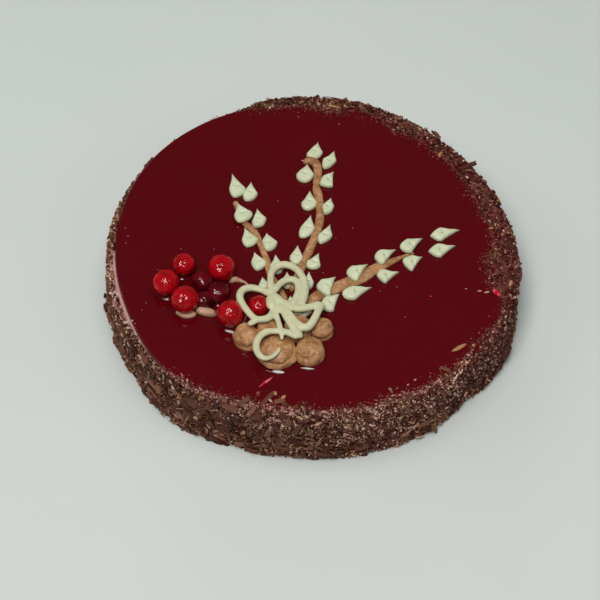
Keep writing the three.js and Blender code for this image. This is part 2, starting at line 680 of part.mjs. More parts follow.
// The lattice stands on the dollops at the front and comes down over the branches behind.
// Each stop of a strand gives x, y, the height above the glaze and the strand's width.
const LATTICE_STRANDS = [
  // loop round the berry at the left
  [
    [-17.5, -33.3, 7.6, 3.8],
    [-21.7, -33.2, 7.6, 3.4],
    [-24.6, -31.8, 7.4, 2.6],
    [-27.9, -30.6, 7.2, 3.0],
    [-30.8, -30.5, 7.2, 3.2],
    [-33.3, -31.7, 7.4, 3.2],
    [-34.7, -34.3, 7.8, 3.2],
    [-34.7, -37.6, 8.4, 3.1],
    [-33.6, -40.8, 9.0, 3.0],
    [-31.7, -44.0, 9.2, 2.8],
    [-29.4, -47.2, 9.4, 2.7],
    [-26.7, -49.8, 9.6, 2.8],
    [-23.9, -49.9, 9.6, 2.9],
    [-21.2, -49.0, 9.5, 3.2],
    [-19.3, -46.7, 9.4, 3.4],
    [-18.6, -43.6, 9.2, 3.8],
  ],
  // short tail on the first dollop
  [
    [-25.8, -50.1, 9.6, 2.7],
    [-28.5, -51.9, 9.7, 2.5],
    [-30.3, -53.4, 9.8, 2.0],
  ],
  // tall loop at the back
  [
    [-19.7, -38.0, 8.4, 3.4],
    [-20.3, -32.8, 7.6, 3.1],
    [-20.7, -27.6, 6.8, 2.9],
    [-20.8, -22.5, 6.1, 2.8],
    [-20.0, -18.6, 5.6, 3.0],
    [-17.8, -16.0, 5.3, 3.2],
    [-14.7, -14.9, 5.2, 3.3],
    [-11.6, -15.6, 5.3, 3.2],
    [-8.7, -17.7, 5.5, 3.0],
    [-6.5, -21.0, 5.9, 3.0],
    [-4.9, -25.1, 6.5, 3.0],
    [-4.3, -29.6, 7.1, 3.2],
    [-4.7, -34.1, 7.8, 3.4],
    [-5.7, -38.7, 8.6, 3.6],
  ],
  // small loop inside it
  [
    [-19.2, -32.7, 7.6, 3.4],
    [-17.4, -29.1, 7.0, 2.8],
    [-15.4, -26.3, 6.6, 2.9],
    [-13.0, -24.6, 6.4, 3.0],
    [-10.4, -24.4, 6.4, 3.0],
    [-8.3, -25.9, 6.6, 3.2],
    [-7.3, -29.0, 7.0, 3.4],
    [-7.4, -32.9, 7.6, 3.6],
    [-8.3, -36.9, 8.2, 3.8],
    [-9.8, -40.2, 8.9, 3.8],
  ],
  // the thick middle, where the strands run together
  [
    [-20.5, -34.7, 7.9, 3.8],
    [-20.1, -40.0, 8.8, 4.3],
    [-19.3, -44.2, 9.2, 4.3],
  ],
  [
    [-20.3, -34.7, 7.9, 3.8],
    [-17.9, -36.6, 8.2, 4.1],
    [-15.5, -39.5, 8.7, 4.3],
    [-12.6, -41.3, 9.0, 4.6],
    [-9.3, -41.2, 9.0, 4.3],
  ],
  [
    [-17.7, -43.0, 9.1, 4.3],
    [-14.4, -43.4, 9.2, 4.3],
    [-11.6, -43.3, 9.2, 3.8],
  ],
  // out to the corner at the right
  [
    [-11.2, -41.5, 9.0, 3.8],
    [-7.9, -42.8, 9.1, 3.4],
    [-4.6, -42.5, 9.1, 3.2],
    [-1.4, -41.6, 9.0, 3.2],
    [1.4, -40.4, 8.9, 3.2],
    [3.8, -38.9, 8.6, 3.0],
  ],
  // and back round the front
  [
    [4.0, -38.8, 8.6, 3.0],
    [3.0, -41.6, 9.0, 3.1],
    [1.7, -44.9, 9.3, 3.1],
    [0.5, -48.2, 9.5, 3.2],
    [-1.0, -51.5, 9.7, 3.4],
    [-2.8, -53.8, 9.8, 3.5],
    [-5.1, -53.8, 9.8, 3.4],
    [-7.5, -51.8, 9.7, 3.1],
    [-9.6, -49.0, 9.5, 3.0],
    [-11.8, -45.9, 9.3, 3.2],
    [-13.9, -43.1, 9.1, 3.8],
  ],
  // down to the front
  [
    [-15.4, -41.7, 9.0, 3.8],
    [-13.9, -45.2, 9.3, 3.2],
    [-12.2, -49.0, 9.5, 3.1],
    [-10.4, -52.4, 9.7, 3.2],
    [-8.5, -55.6, 9.9, 3.4],
    [-6.4, -58.3, 10.0, 3.5],
    [-5.0, -59.5, 9.9, 2.9],
  ],
  // thin straight strand across the middle
  [
    [-18.1, -43.0, 9.1, 3.4],
    [-17.6, -46.5, 9.4, 2.4],
    [-16.6, -50.0, 9.6, 2.2],
    [-15.7, -53.5, 9.8, 2.2],
    [-15.0, -56.4, 9.9, 2.2],
    [-14.5, -59.1, 9.9, 1.5],
    [-14.4, -61.2, 9.7, 1.1],
  ],
  // round curl on the second dollop
  [
    [-6.1, -59.4, 9.9, 3.2],
    [-8.9, -58.4, 10.0, 3.1],
    [-11.7, -57.2, 10.0, 2.8],
    [-14.7, -56.5, 9.9, 2.7],
    [-17.9, -56.5, 9.9, 2.5],
    [-21.2, -57.0, 10.0, 2.8],
    [-23.9, -58.8, 9.9, 2.9],
    [-25.5, -61.4, 9.7, 3.0],
    [-26.1, -64.7, 9.3, 3.0],
    [-25.4, -67.7, 9.0, 2.9],
    [-23.7, -70.0, 8.8, 2.5],
    [-21.4, -70.9, 8.8, 2.0],
    [-19.1, -70.2, 8.8, 1.7],
    [-17.1, -68.6, 8.9, 1.5],
    [-15.7, -66.6, 9.1, 1.4],
    [-15.1, -64.8, 9.3, 1.2],
  ],
];

function lattice() {
  return LATTICE_STRANDS.map((line) => toSolid(strand(line))).reduce((all, one) => all.add(one));
}

// ---------------------------------------------------------------- colours and putting together

function coating(colour, roughness) {
  return () => new THREE.MeshStandardMaterial({ color: colour, roughness, metalness: 0 });
}

const COLOURS = {
  crumbs: coating('#4f3226', 0.85),
  cream: coating('#b98d86', 0.7),
  glaze: coating('#54090f', 0.08),
  cocoaCream: coating('#a5785a', 0.6),
  whiteCream: coating('#bec6a2', 0.55),
  berry: coating('#a00c14', 0.15),
  darkBerry: coating('#47070f', 0.1),
};

// The decoration in the order in which it was put on. A later piece is trimmed to clear
// the earlier ones that it meets.
function decoration() {
  const pieces = [];
  const add = (name, maker, shape, colour, at = [0, 0], turn = 0) =>
    pieces.push({ name, maker: (grow) => maker(shape, grow), colour, at, turn });
  for (const [name, shape] of Object.entries(STEMS)) {
    add(name, stroke, shape, COLOURS.cocoaCream);
  }
  for (const [name, shape] of Object.entries(DOLLOPS)) {
    add(name, dollop, shape, COLOURS.cocoaCream, shape.at, shape.turn);
  }
  for (const [name, shape] of Object.entries(BERRIES)) {
    const colour = name.startsWith('dark') ? COLOURS.darkBerry : COLOURS.berry;
    add(name, berry, shape, colour, shape.at);
  }
  for (const [name, shape] of Object.entries(DABS)) {
    add(name, stroke, shape, COLOURS.cocoaCream);
  }
  for (const [name, shape] of Object.entries(LEAVES)) {
    add(`leaf_${name}`, leaf, shape, COLOURS.whiteCream, shape.at, shape.points);
  }
  return pieces;
}

const cake = new THREE.Group();

function put(name, geometry, colour, position = [0, 0, 0], turn = 0) {
  const mesh = new THREE.Mesh(geometry, colour());
  mesh.name = name;
  mesh.position.set(...position);
  mesh.rotation.z = radians(turn);
  cake.add(mesh);
}

put('cake', toGeometry(cakeSolid()), COLOURS.crumbs);
put('cream_layer', closedGeometry(disc(CREAM)), COLOURS.cream);
put('glaze', closedGeometry(disc(GLAZE)), COLOURS.glaze);

const GLAZE_SHEET = new THREE.BoxGeometry(400, 400, 40).translate(0, 0, -20);
const earlier = [];

for (const piece of decoration()) {
  const place = new THREE.Matrix4().makeRotationZ(radians(piece.turn));
  place.setPosition(piece.at[0], piece.at[1], 0);
  const home = place.clone().invert();
  const box = new THREE.Box3().setFromBufferAttribute(
    piece.maker(0).applyMatrix4(place).attributes.position,
  );
  let solid = toSolid(piece.maker(0));
  for (const other of earlier) {
    if (!other.box.intersectsBox(box)) continue;
    const tool = other.maker(CLEARANCE).applyMatrix4(other.place).applyMatrix4(home);
    solid = solid.subtract(toSolid(tool));
  }
  put(piece.name, toGeometry(largest(solid)), piece.colour, [...piece.at, GLAZE_TOP], piece.turn);
  earlier.push({ ...piece, place, box: box.expandByScalar(CLEARANCE * 2) });
}

let lattices = lattice().subtract(toSolid(GLAZE_SHEET));
for (const other of earlier) {
  lattices = lattices.subtract(toSolid(other.maker(CLEARANCE).applyMatrix4(other.place)));
}
put('lattice', toGeometry(largest(lattices)), COLOURS.whiteCream, [0, 0, GLAZE_TOP]);

export default cake;
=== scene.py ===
# %% [markdown]
# # A jelly-glazed cake with piped leaves, berries and a lattice
#
# The cake is round and uncut. A dark red jelly glaze covers its top, chocolate crumbs and
# flakes cover its side, and the decoration is piped cream: three branches of pale leaves on
# cocoa-coloured stems, a row of cocoa dollops, a bunch of berries and a looped lattice.
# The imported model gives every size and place, so the first step is to load it and to keep
# its outer box, which nothing made here may leave.

# %% Load the frame
import math

import bpy
import numpy as np
from mathutils import Matrix, Quaternion, Vector, noise


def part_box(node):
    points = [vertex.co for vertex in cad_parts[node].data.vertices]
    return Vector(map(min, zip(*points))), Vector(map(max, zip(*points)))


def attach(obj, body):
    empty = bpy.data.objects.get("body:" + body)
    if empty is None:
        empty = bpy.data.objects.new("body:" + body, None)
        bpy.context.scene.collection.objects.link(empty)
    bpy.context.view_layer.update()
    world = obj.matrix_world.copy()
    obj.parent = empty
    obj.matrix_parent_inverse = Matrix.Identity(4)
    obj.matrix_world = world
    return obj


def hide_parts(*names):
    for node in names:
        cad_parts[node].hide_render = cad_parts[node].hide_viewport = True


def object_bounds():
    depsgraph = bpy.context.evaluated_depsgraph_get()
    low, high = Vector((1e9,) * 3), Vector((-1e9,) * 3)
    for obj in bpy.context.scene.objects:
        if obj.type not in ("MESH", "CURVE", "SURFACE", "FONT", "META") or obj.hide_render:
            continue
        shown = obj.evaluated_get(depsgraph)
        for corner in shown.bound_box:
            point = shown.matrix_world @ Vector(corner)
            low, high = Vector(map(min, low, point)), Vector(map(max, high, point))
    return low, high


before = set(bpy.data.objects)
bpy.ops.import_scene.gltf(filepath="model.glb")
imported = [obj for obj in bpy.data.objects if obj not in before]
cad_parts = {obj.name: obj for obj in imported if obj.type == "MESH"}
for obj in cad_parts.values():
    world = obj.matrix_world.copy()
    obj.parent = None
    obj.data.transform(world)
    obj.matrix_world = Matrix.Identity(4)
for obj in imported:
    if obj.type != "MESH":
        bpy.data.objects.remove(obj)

MM = 0.001
cad_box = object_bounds()
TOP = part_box("glaze")[1].z / MM  # the plane that the decoration stands on
print("nodes", len(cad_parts), "top of the glaze at", round(TOP, 2), "mm")

# %% [markdown]
# ## Camera, floor and light
#
# The camera looks down at about 55 degrees, as one looks at a cake on a table. A long lens
# keeps the round outline from bulging. The light is a large soft lamp near the camera, a
# little to its left: a lamp on the far side would mirror itself in the flat glaze and turn
# it grey. The floor is plain and pale, and its own light fills the shadows under the edge.

# %% Camera
CAMERA_AT = (-4.8, -534.1, 747.1)
CAMERA_AIM = (-6.68, -20.99, 20.0)
CAMERA_ROLL = 1.42  # degrees
CAMERA_LENS = 110.52

camera = bpy.data.objects.new("camera", bpy.data.cameras.new("camera"))
bpy.context.scene.collection.objects.link(camera)
camera.location = Vector(CAMERA_AT) * MM
look = (Vector(CAMERA_AIM) - Vector(CAMERA_AT)).to_track_quat("-Z", "Y")
camera.rotation_euler = (look @ Quaternion((0, 0, 1), math.radians(CAMERA_ROLL))).to_euler()
camera.data.lens = CAMERA_LENS
camera.data.clip_end = 20
bpy.context.scene.camera = camera
print("camera distance", round((Vector(CAMERA_AIM) - Vector(CAMERA_AT)).length), "mm")


# %% Lamps
def soft_lamp(name, azimuth, elevation, distance, size, power, colour, mirrored=False):
    """A square lamp that faces the cake. Azimuth 0 is the camera's side, 90 the left."""
    turn, rise = math.radians(azimuth), math.radians(elevation)
    lamp = bpy.data.objects.new(name, bpy.data.lights.new(name, "AREA"))
    bpy.context.scene.collection.objects.link(lamp)
    away = Vector(
        (-math.sin(turn) * math.cos(rise), -math.cos(turn) * math.cos(rise), math.sin(rise))
    )
    lamp.location = away * distance
    lamp.rotation_euler = (-away).to_track_quat("-Z", "Y").to_euler()
    lamp.data.size = size
    lamp.data.energy = power
    lamp.data.color = colour
    lamp.visible_glossy = mirrored
    return lamp


soft_lamp("key", 22, 64, 1.5, 0.46, 11, (1.0, 0.985, 0.95), mirrored=True)
soft_lamp("above", 0, 89, 1.6, 1.0, 9, (0.97, 1.0, 1.0))
soft_lamp("fill_left", 95, 38, 1.6, 0.9, 3, (0.95, 1.0, 1.0))
soft_lamp("fill_right", -75, 35, 1.6, 0.9, 3, (0.95, 0.98, 1.0))
soft_lamp("fill_back", 170, 22, 1.8, 0.7, 3, (0.95, 0.98, 1.0))

world = bpy.data.worlds.new("studio")
bpy.context.scene.world = world
world.use_nodes = True
world.node_tree.nodes["Background"].inputs["Color"].default_value = (0.80, 0.86, 0.84, 1)
world.node_tree.nodes["Background"].inputs["Strength"].default_value = 0.10
bpy.context.scene.view_settings.view_transform = "Standard"


# %% [markdown]
# ## How the finishes are written
#
# A finish is one material. Its maths reads as ordinary Python: a small class stands for a
# socket, and adding or multiplying two of them adds the Math node that does it. Patterns
# are laid out on Object coordinates, so they stay on the piece from every side. What is
# the same all over a surface is set on the shader itself.


# %% Finish helpers
class Wire:
    """One value on its way through a finish."""

    def __init__(self, finish, socket):
        self.finish = finish
        self.socket = socket

    def maths(self, operation, *values):
        settings = {"operation": operation}
        return self.finish.add("ShaderNodeMath", settings, dict(enumerate(values)))

    def __add__(self, other):
        return self.maths("ADD", self, other)

    def __rsub__(self, other):
        return self.maths("SUBTRACT", other, self)

    def __mul__(self, other):
        return self.maths("MULTIPLY", self, other)

    __radd__ = __add__
    __rmul__ = __mul__

    def above(self, edge, soft):
        """0 below the edge, 1 above it, with a soft step between."""
        inputs = {"Value": self, "From Min": edge - soft, "From Max": edge + soft}
        return self.finish.add("ShaderNodeMapRange", {"interpolation_type": "SMOOTHSTEP"}, inputs)


class Finish:
    """A material under way. Sockets that are even all over are given by name."""

    def __init__(self, name, **even):
        self.material = bpy.data.materials.new(name)
        self.material.use_nodes = True
        self.tree = self.material.node_tree
        self.shader = self.tree.nodes["Principled BSDF"]
        for socket, value in even.items():
            self.shader.inputs[socket.replace("_", " ")].default_value = value
        self.place = self.add("ShaderNodeTexCoord", out="Object")

    def add(self, kind, settings=None, inputs=None, out=0):
        """Adds a node: its settings first, then the values or links of its sockets."""
        node = self.tree.nodes.new(kind)
        for name, value in (settings or {}).items():
            if name == "stops":
                self.set_stops(node.color_ramp, value)
            else:
                setattr(node, name, value)
        for name, value in (inputs or {}).items():
            self.feed(node.inputs[name], value)
        return Wire(self, node.outputs[out])

    def set_stops(self, ramp, stops):
        while len(ramp.elements) < len(stops):
            ramp.elements.new(1)
        for element, (at, colour) in zip(ramp.elements, stops):
            element.position = at
            element.color = (*colour, 1)

    def feed(self, socket, value):
        if isinstance(value, Wire):
            self.tree.links.new(value.socket, socket)
        else:
            socket.default_value = value

    def speckle(self, scale, detail, stretch=None):
        """Cloudy noise from 0 to 1. The scale is in bumps to the metre."""
        place = self.place
        if stretch:
            place = self.add("ShaderNodeMapping", {}, {"Vector": place, "Scale": stretch})
        inputs = {"Vector": place, "Scale": scale, "Detail": detail}
        return self.add("ShaderNodeTexNoise", {}, inputs)

    def cells(self, scale, out="Distance"):
        """Grains packed side by side: the distance to the nearest, or its own colour."""
        return self.add("ShaderNodeTexVoronoi", {}, {"Vector": self.place, "Scale": scale}, out)

    def axis(self, name):
        return self.add("ShaderNodeSeparateXYZ", {}, {"Vector": self.place}, name)

    def ramp(self, value, stops):
        return self.add("ShaderNodeValToRGB", {"stops": stops}, {"Fac": value}, "Color")

    def blend(self, share, below, above):
        """From one colour to another, by a share."""
        below = below if isinstance(below, Wire) else (*below, 1)
        above = above if isinstance(above, Wire) else (*above, 1)
        return self.add("ShaderNodeMix", {"data_type": "RGBA"}, {0: share, 6: below, 7: above}, 2)

    def colour(self, value):
        self.feed(self.shader.inputs["Base Color"], value)

    def bump(self, height, distance, strength):
        inputs = {"Height": height, "Distance": distance, "Strength": strength}
        self.feed(self.shader.inputs["Normal"], self.add("ShaderNodeBump", {}, inputs))


def clouded(name, low, high, cloud, soft=None, bump=None, **even):
    """A finish in two colours that run into each other in clouds, with a fine unevenness."""
    finish = Finish(name, **even)
    share = finish.speckle(*cloud)
    if soft:
        share = share.above(0.5, soft)
    finish.base = finish.blend(share, low, high)
    finish.colour(finish.base)
    if bump:
        grain, distance, strength = bump
        finish.bump(finish.speckle(*grain), distance, strength)
    return finish


JELLY_LIP = 0.3  # mm below the top, where the jelly turns from glossy to satin
JELLY_LIP_SOFT = 0.1


def jelly_finish():
    finish = clouded(
        "jelly", (0.078, 0.0010, 0.0030), (0.096, 0.0014, 0.0036), (22, 3),
        bump=((60, 2), 0.0004, 0.15), Specular_IOR_Level=0.35,
    )
    on_top = finish.axis("Z").above((TOP - JELLY_LIP) * MM, JELLY_LIP_SOFT * MM)
    finish.feed(finish.shader.inputs["Roughness"], (1 - on_top) * 0.4 + 0.07)
    return finish


def pale_cream_finish(name, low, high):
    return clouded(
        name, low, high, (230, 3), soft=0.3, bump=((500, 2), 0.0003, 0.22), Roughness=0.42,
        Subsurface_Weight=0.22, Subsurface_Radius=(1.0, 0.8, 0.5), Subsurface_Scale=0.0015,
    )


def cocoa_cream_finish(name, low, high):
    """Cream with cocoa stirred in: dark grains of cocoa and paler streaks show in it."""
    finish = clouded(
        name, low, high, (210, 4), soft=0.22, bump=((560, 4), 0.0005, 0.55), Roughness=0.45,
        Subsurface_Weight=0.10, Subsurface_Radius=(1.0, 0.6, 0.4), Subsurface_Scale=0.0010,
    )
    dark = finish.speckle(900, 3).above(0.62, 0.05)
    base = finish.blend(dark * 0.45, finish.base, (0.16, 0.060, 0.026))
    pale = finish.speckle(480, 3, (1, 1, 1.6)).above(0.60, 0.05)
    finish.colour(finish.blend(pale * 0.4, base, (0.66, 0.43, 0.26)))
    return finish


def berry_finish(name, deep, bright):
    """Wet skin: its own unevenness breaks the light up into small glints."""
    return clouded(
        name, deep, bright, (190, 3), soft=0.25, bump=((300, 3), 0.0014, 0.8),
        Roughness=0.07, Specular_IOR_Level=0.5, Subsurface_Weight=0.15,
        Subsurface_Radius=(1.0, 0.15, 0.1), Subsurface_Scale=0.002,
    )


FINISHES = {
    "jelly": jelly_finish(),
    "pale_cream": pale_cream_finish("pale_cream", (0.54, 0.585, 0.375), (0.66, 0.685, 0.485)),
    "lattice_cream": pale_cream_finish(
        "lattice_cream", (0.51, 0.505, 0.325), (0.64, 0.625, 0.405)
    ),
    "cocoa_cream": cocoa_cream_finish("cocoa_cream", (0.27, 0.115, 0.042), (0.48, 0.245, 0.112)),
    "dollop_cream": cocoa_cream_finish("dollop_cream", (0.33, 0.143, 0.052), (0.53, 0.275, 0.128)),
    "pale_cocoa": cocoa_cream_finish("pale_cocoa", (0.42, 0.215, 0.130), (0.60, 0.35, 0.24)),
    "red_berry": berry_finish("red_berry", (0.25, 0.0006, 0.002), (0.47, 0.002, 0.008)),
    "dark_berry": berry_finish("dark_berry", (0.045, 0.0006, 0.002), (0.145, 0.0015, 0.006)),
    "berry_cream": clouded(
        "berry_cream", (0.42, 0.19, 0.17), (0.62, 0.40, 0.35), (260, 3),
        bump=((700, 3), 0.0004, 0.5), Roughness=0.55,
    ),
    "shard": clouded(
        "red_shard", (0.50, 0.006, 0.022), (0.68, 0.14, 0.17), (420, 2), soft=0.15,
        Roughness=0.2, Specular_IOR_Level=0.5,
    ),
}
print("finishes", sorted(FINISHES))

# %% [markdown]
# ## How the pieces are started
#
# Almost everything here is a round thing that someone built up: a disc, a mound, a thread.
# So each piece starts from the same blank, a filled circle that is extruded upwards ring by
# ring. Its corners are then moved, as a sculptor's brush would, to the place that a formula
# gives for their direction round the blank and their ring, and the faces are shaded smooth.


# %% Blanks
def deselect():
    bpy.ops.object.select_all(action="DESELECT")


def fresh(name, primitive, **settings):
    """A new primitive with nothing else selected."""
    deselect()
    primitive(**settings)
    bpy.context.object.name = name
    return bpy.context.object


def blank(name, sides, rings):
    """A closed drum with unit radius and height, made by extruding a filled circle."""
    circle = {"vertices": sides, "radius": 1, "fill_type": "TRIFAN"}
    piece = fresh(name, bpy.ops.mesh.primitive_circle_add, **circle)
    bpy.ops.object.mode_set(mode="EDIT")
    bpy.ops.mesh.select_all(action="SELECT")
    for _ in range(rings):
        bpy.ops.mesh.extrude_region_move(TRANSFORM_OT_translate={"value": (0, 0, 1 / rings)})
    bpy.ops.mesh.select_all(action="SELECT")
    bpy.ops.mesh.normals_make_consistent(inside=False)
    bpy.ops.object.mode_set(mode="OBJECT")
    return piece


def corners_of(piece):
    corners = np.empty(len(piece.data.vertices) * 3)
    piece.data.vertices.foreach_get("co", corners)
    return corners.reshape(-1, 3)


def move_corners(piece, corners):
    piece.data.vertices.foreach_set("co", np.asarray(corners).ravel())
    piece.data.update()


def shape_blank(piece, place):
    """Moves a blank's corners to place(angle, ring share, 1 or 0 on the axis), in mm."""
    x, y, z = corners_of(piece).T
    off_axis = (np.hypot(x, y) > 0.5).astype(float)
    move_corners(piece, np.stack(place(np.arctan2(y, x), z, off_axis), axis=1) * MM)
    return piece


def smooth(piece):
    deselect()
    piece.select_set(True)
    bpy.context.view_layer.objects.active = piece
    bpy.ops.object.shade_smooth()
    return piece


def modified(kind, **settings):
    """Adds a modifier to the active piece, sets it and applies it."""
    bpy.ops.object.modifier_add(type=kind)
    modifier = bpy.context.object.modifiers[-1]
    for name, value in settings.items():
        setattr(modifier, name, value)
    bpy.ops.object.modifier_apply(modifier=modifier.name)


def clouds(corners, size, seed=0.0):
    """Smooth noise from -1 to 1 at each corner, in mm, with bumps of that size."""
    return np.array([noise.noise(Vector(c) / size + Vector((seed, 2.7, 5.1))) for c in corners])


def lumps(corners, layers):
    """Several clouds added up, each given by its depth, size and seed."""
    return sum(depth * clouds(corners, size, seed) for depth, size, seed in layers)


def serve(piece, finish, slot, *nodes):
    """Gives a piece its finish and its body, and hides the nodes that it stands for. The slot is
    not used.
    """
    finish = FINISHES[finish]
    piece.data.materials.clear()
    piece.data.materials.append(finish.material)
    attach(piece, "root")
    if nodes:
        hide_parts(*nodes)
    return piece


# %% The floor
FLOOR_SIZE = 8  # metres
floor_paper = clouded("floor_paper", (0.60, 0.63, 0.60), (0.64, 0.67, 0.64), (9, 3), Roughness=0.9)
floor = fresh("floor", bpy.ops.mesh.primitive_plane_add, size=FLOOR_SIZE)
floor.data.materials.append(floor_paper.material)
print("floor", FLOOR_SIZE, "m wide")

# %% [markdown]
# ## The edge of the cake
#
# The glaze, the cream under it and the crumb coat all follow one nearly round outline. The
# coat leans in a little towards its rim. It stops below the glaze at the left, where a band
# of cream shows, and spills over the glaze at the right and the back.

# %% Outline of the cake
GLAZE_RADIUS = 96.5
GLAZE_SQUEEZE = 2.8
CREAM_SHOWS = 1.4
COAT_FOOT = 102
COAT_FOOT_SQUEEZE = 4.5
COAT_RIM = 34
COAT_RIM_OVER = 35.2
COAT_RIM_HIGH = 36.8
EDGE_FADE = 8
NO_CRUMBS = GLAZE_RADIUS + 9  # beyond the glaze: here no crumbs lie on it

# Bends of the round outline: at which degrees, how far to each side, how far out.
EDGE_DENT = (33, 62, -5.6)
GLAZE_SWELL = (143, 50, 1.9)
GLAZE_DRIP = (-130, 30, 3.6)
FOOT_BENDS = ((-129, 19, 3.8), (-43, 12, -3.4))

# How far in over the glaze the crumbs lie: degrees round from +X, and the radius there.
CRUMB_EDGE = (
    (-114, 98), (-109, 94.4), (-97, 93.4), (-92, 92.6), (-85, 94), (-75, 95), (-66, 92.3),
    (-60, 94.4), (-54, 95.6), (-42, 95), (-35, 93.6), (-25, 96.5), (-18, 95.8), (-13, 86),
    (-3, 84), (4, 87.4), (12, 87), (17, 84.8), (27, 85.8), (44, 86.2), (56, 87), (63, 85),
    (72, 90.6), (78, 91), (83, 87), (88, 87.4), (93, 90), (109, 92.6), (114, 97),
)
HIGH_RIM = (-17, 114)
BARE_CREAM = ((-178, -120, 2.9), (118, 172, 1.8))


def turn_between(start, end):
    """The shortest way round from one direction to another, in degrees."""
    return (end - start + 180) % 360 - 180


def hump(offset, spread):
    away = np.minimum(np.abs(offset) / spread, 1)
    return 0.5 + 0.5 * np.cos(np.pi * away)


def in_stretch(degrees, start, end):
    """0 outside a stretch of the edge, 1 well inside it."""
    away = np.abs(turn_between((start + end) / 2, degrees)) - (end - start) / 2
    step = np.clip((away + EDGE_FADE / 2) / EDGE_FADE, 0, 1)
    return 1 - step * step * (3 - 2 * step)


def bend(degrees, at, spread, out):
    return out * hump(turn_between(at, degrees), spread)


def cream_radius(degrees):
    squeeze = GLAZE_SQUEEZE * np.sin(np.radians(degrees)) ** 4
    bends = bend(degrees, *EDGE_DENT) + bend(degrees, *GLAZE_SWELL)
    return GLAZE_RADIUS - squeeze + bends + CREAM_SHOWS


def glaze_radius(degrees):
    return cream_radius(degrees) - CREAM_SHOWS + bend(degrees, *GLAZE_DRIP)


def crumb_reach(degrees):
    """How far the crumbs reach in over the glaze, from its edge."""
    at, edge = np.array(CRUMB_EDGE).T
    inner = np.interp(turn_between(0, degrees), at, edge, left=NO_CRUMBS, right=NO_CRUMBS)
    return np.maximum(0, glaze_radius(degrees) - inner)


def coat_rim(degrees):
    heaped = in_stretch(degrees, *HIGH_RIM)
    top = COAT_RIM_OVER + (COAT_RIM_HIGH - COAT_RIM_OVER) * heaped
    raised = (top - COAT_RIM) * np.minimum(1, crumb_reach(degrees) / 1.5)
    lowered = np.max([low * in_stretch(degrees, a, b) for a, b, low in BARE_CREAM], axis=0)
    return COAT_RIM + raised - lowered


def coat_foot(degrees, up):
    """The coat's outer radius at a share of the height to its rim."""
    squeeze = COAT_FOOT_SQUEEZE * np.sin(np.radians(degrees)) ** 2
    bends = sum(bend(degrees, *one) for one in FOOT_BENDS)
    return COAT_FOOT - squeeze + bend(degrees, *EDGE_DENT) + bends * (1 - up)


front = glaze_radius(np.array([-90.0, 0.0]))
print("radius of the glaze at the front and the right:", front.round(1), "mm")

# %% [markdown]
# ## The glaze and the cream under it
#
# The jelly was poured on and set flat, with a rounded lip. Its blank has rings close
# together at the lip and a few further in, so that a very slight swell can be given to the
# top: a perfectly flat mirror would look like glass.

# %% Glaze
GLAZE_RINGS = np.array([
    (0.970, 0.00), (0.994, 0.02), (0.999, 0.15), (1.000, 0.35), (0.9985, 0.60), (0.995, 0.80),
    (0.990, 0.93), (0.984, 0.99), (0.978, 1.00), (0.972, 1.00), (0.96, 1.00), (0.90, 1.00),
    (0.75, 1.00), (0.6, 1.00), (0.45, 1.00), (0.3, 1.00), (0.15, 1.00),
])
GLAZE_SIDES = 240
GLAZE_THICKNESS = 2.5
SWELL = 0.05


def disc_place(rings, radius, underside, thickness):
    def place(angle, share, off_axis):
        row = np.rint(share * (len(rings) - 1)).astype(int)
        reach, lift = rings[row].T
        wide = radius(np.degrees(angle)) * reach * off_axis
        return wide * np.cos(angle), wide * np.sin(angle), underside + thickness * lift
    return place


glaze = blank("jelly_top", GLAZE_SIDES, len(GLAZE_RINGS) - 1)
shape_blank(glaze, disc_place(GLAZE_RINGS, glaze_radius, TOP - GLAZE_THICKNESS, GLAZE_THICKNESS))
swollen = corners_of(glaze)
swollen[:, 2] -= SWELL * MM * (1 + clouds(swollen / MM, 30))
move_corners(glaze, swollen)
smooth(glaze)
serve(glaze, "jelly", "jelly_glaze", "glaze")
print("glaze", len(glaze.data.polygons), "faces, width", round(glaze.dimensions.x / MM, 1), "mm")

# %% Cream layer
CREAM_RINGS = np.array([
    (0.96, 0.0), (0.992, 0.08), (1.0, 0.3), (1.002, 0.6), (0.998, 0.85), (0.988, 1.0), (0.9, 1.0),
])
CREAM_THICKNESS = 3.7
CREAM_UNEVEN = 0.35

cream = blank("cream_band", GLAZE_SIDES, len(CREAM_RINGS) - 1)
cream_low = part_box("cream_layer")[0].z / MM
shape_blank(cream, disc_place(CREAM_RINGS, cream_radius, cream_low, CREAM_THICKNESS))
bumpy = corners_of(smooth(cream))
push = 1 + CREAM_UNEVEN / GLAZE_RADIUS * clouds(bumpy / MM, 3.5, 9)
bumpy[:, :2] *= push[:, None]
move_corners(cream, bumpy)
serve(cream, "berry_cream", "berry_cream", "cream_layer")
print("cream layer", len(cream.data.polygons), "faces")

# %% [markdown]
# ## The crumb coat
#
# A baker presses handfuls of grated chocolate and crumbs against the creamed side. Under
# the loose bits there is a packed mass, and that is the first piece: a ring of relief that
# stands for the cake's solid. The bits that can be told apart lie on it, one joined mesh
# for each kind: brown, red and light crumbs, jam-soaked ones near the glaze, flakes and
# shavings of chocolate, lumps, patches and smears of cream, and bits of nut. Each bit is a
# copy of one of a few little models.

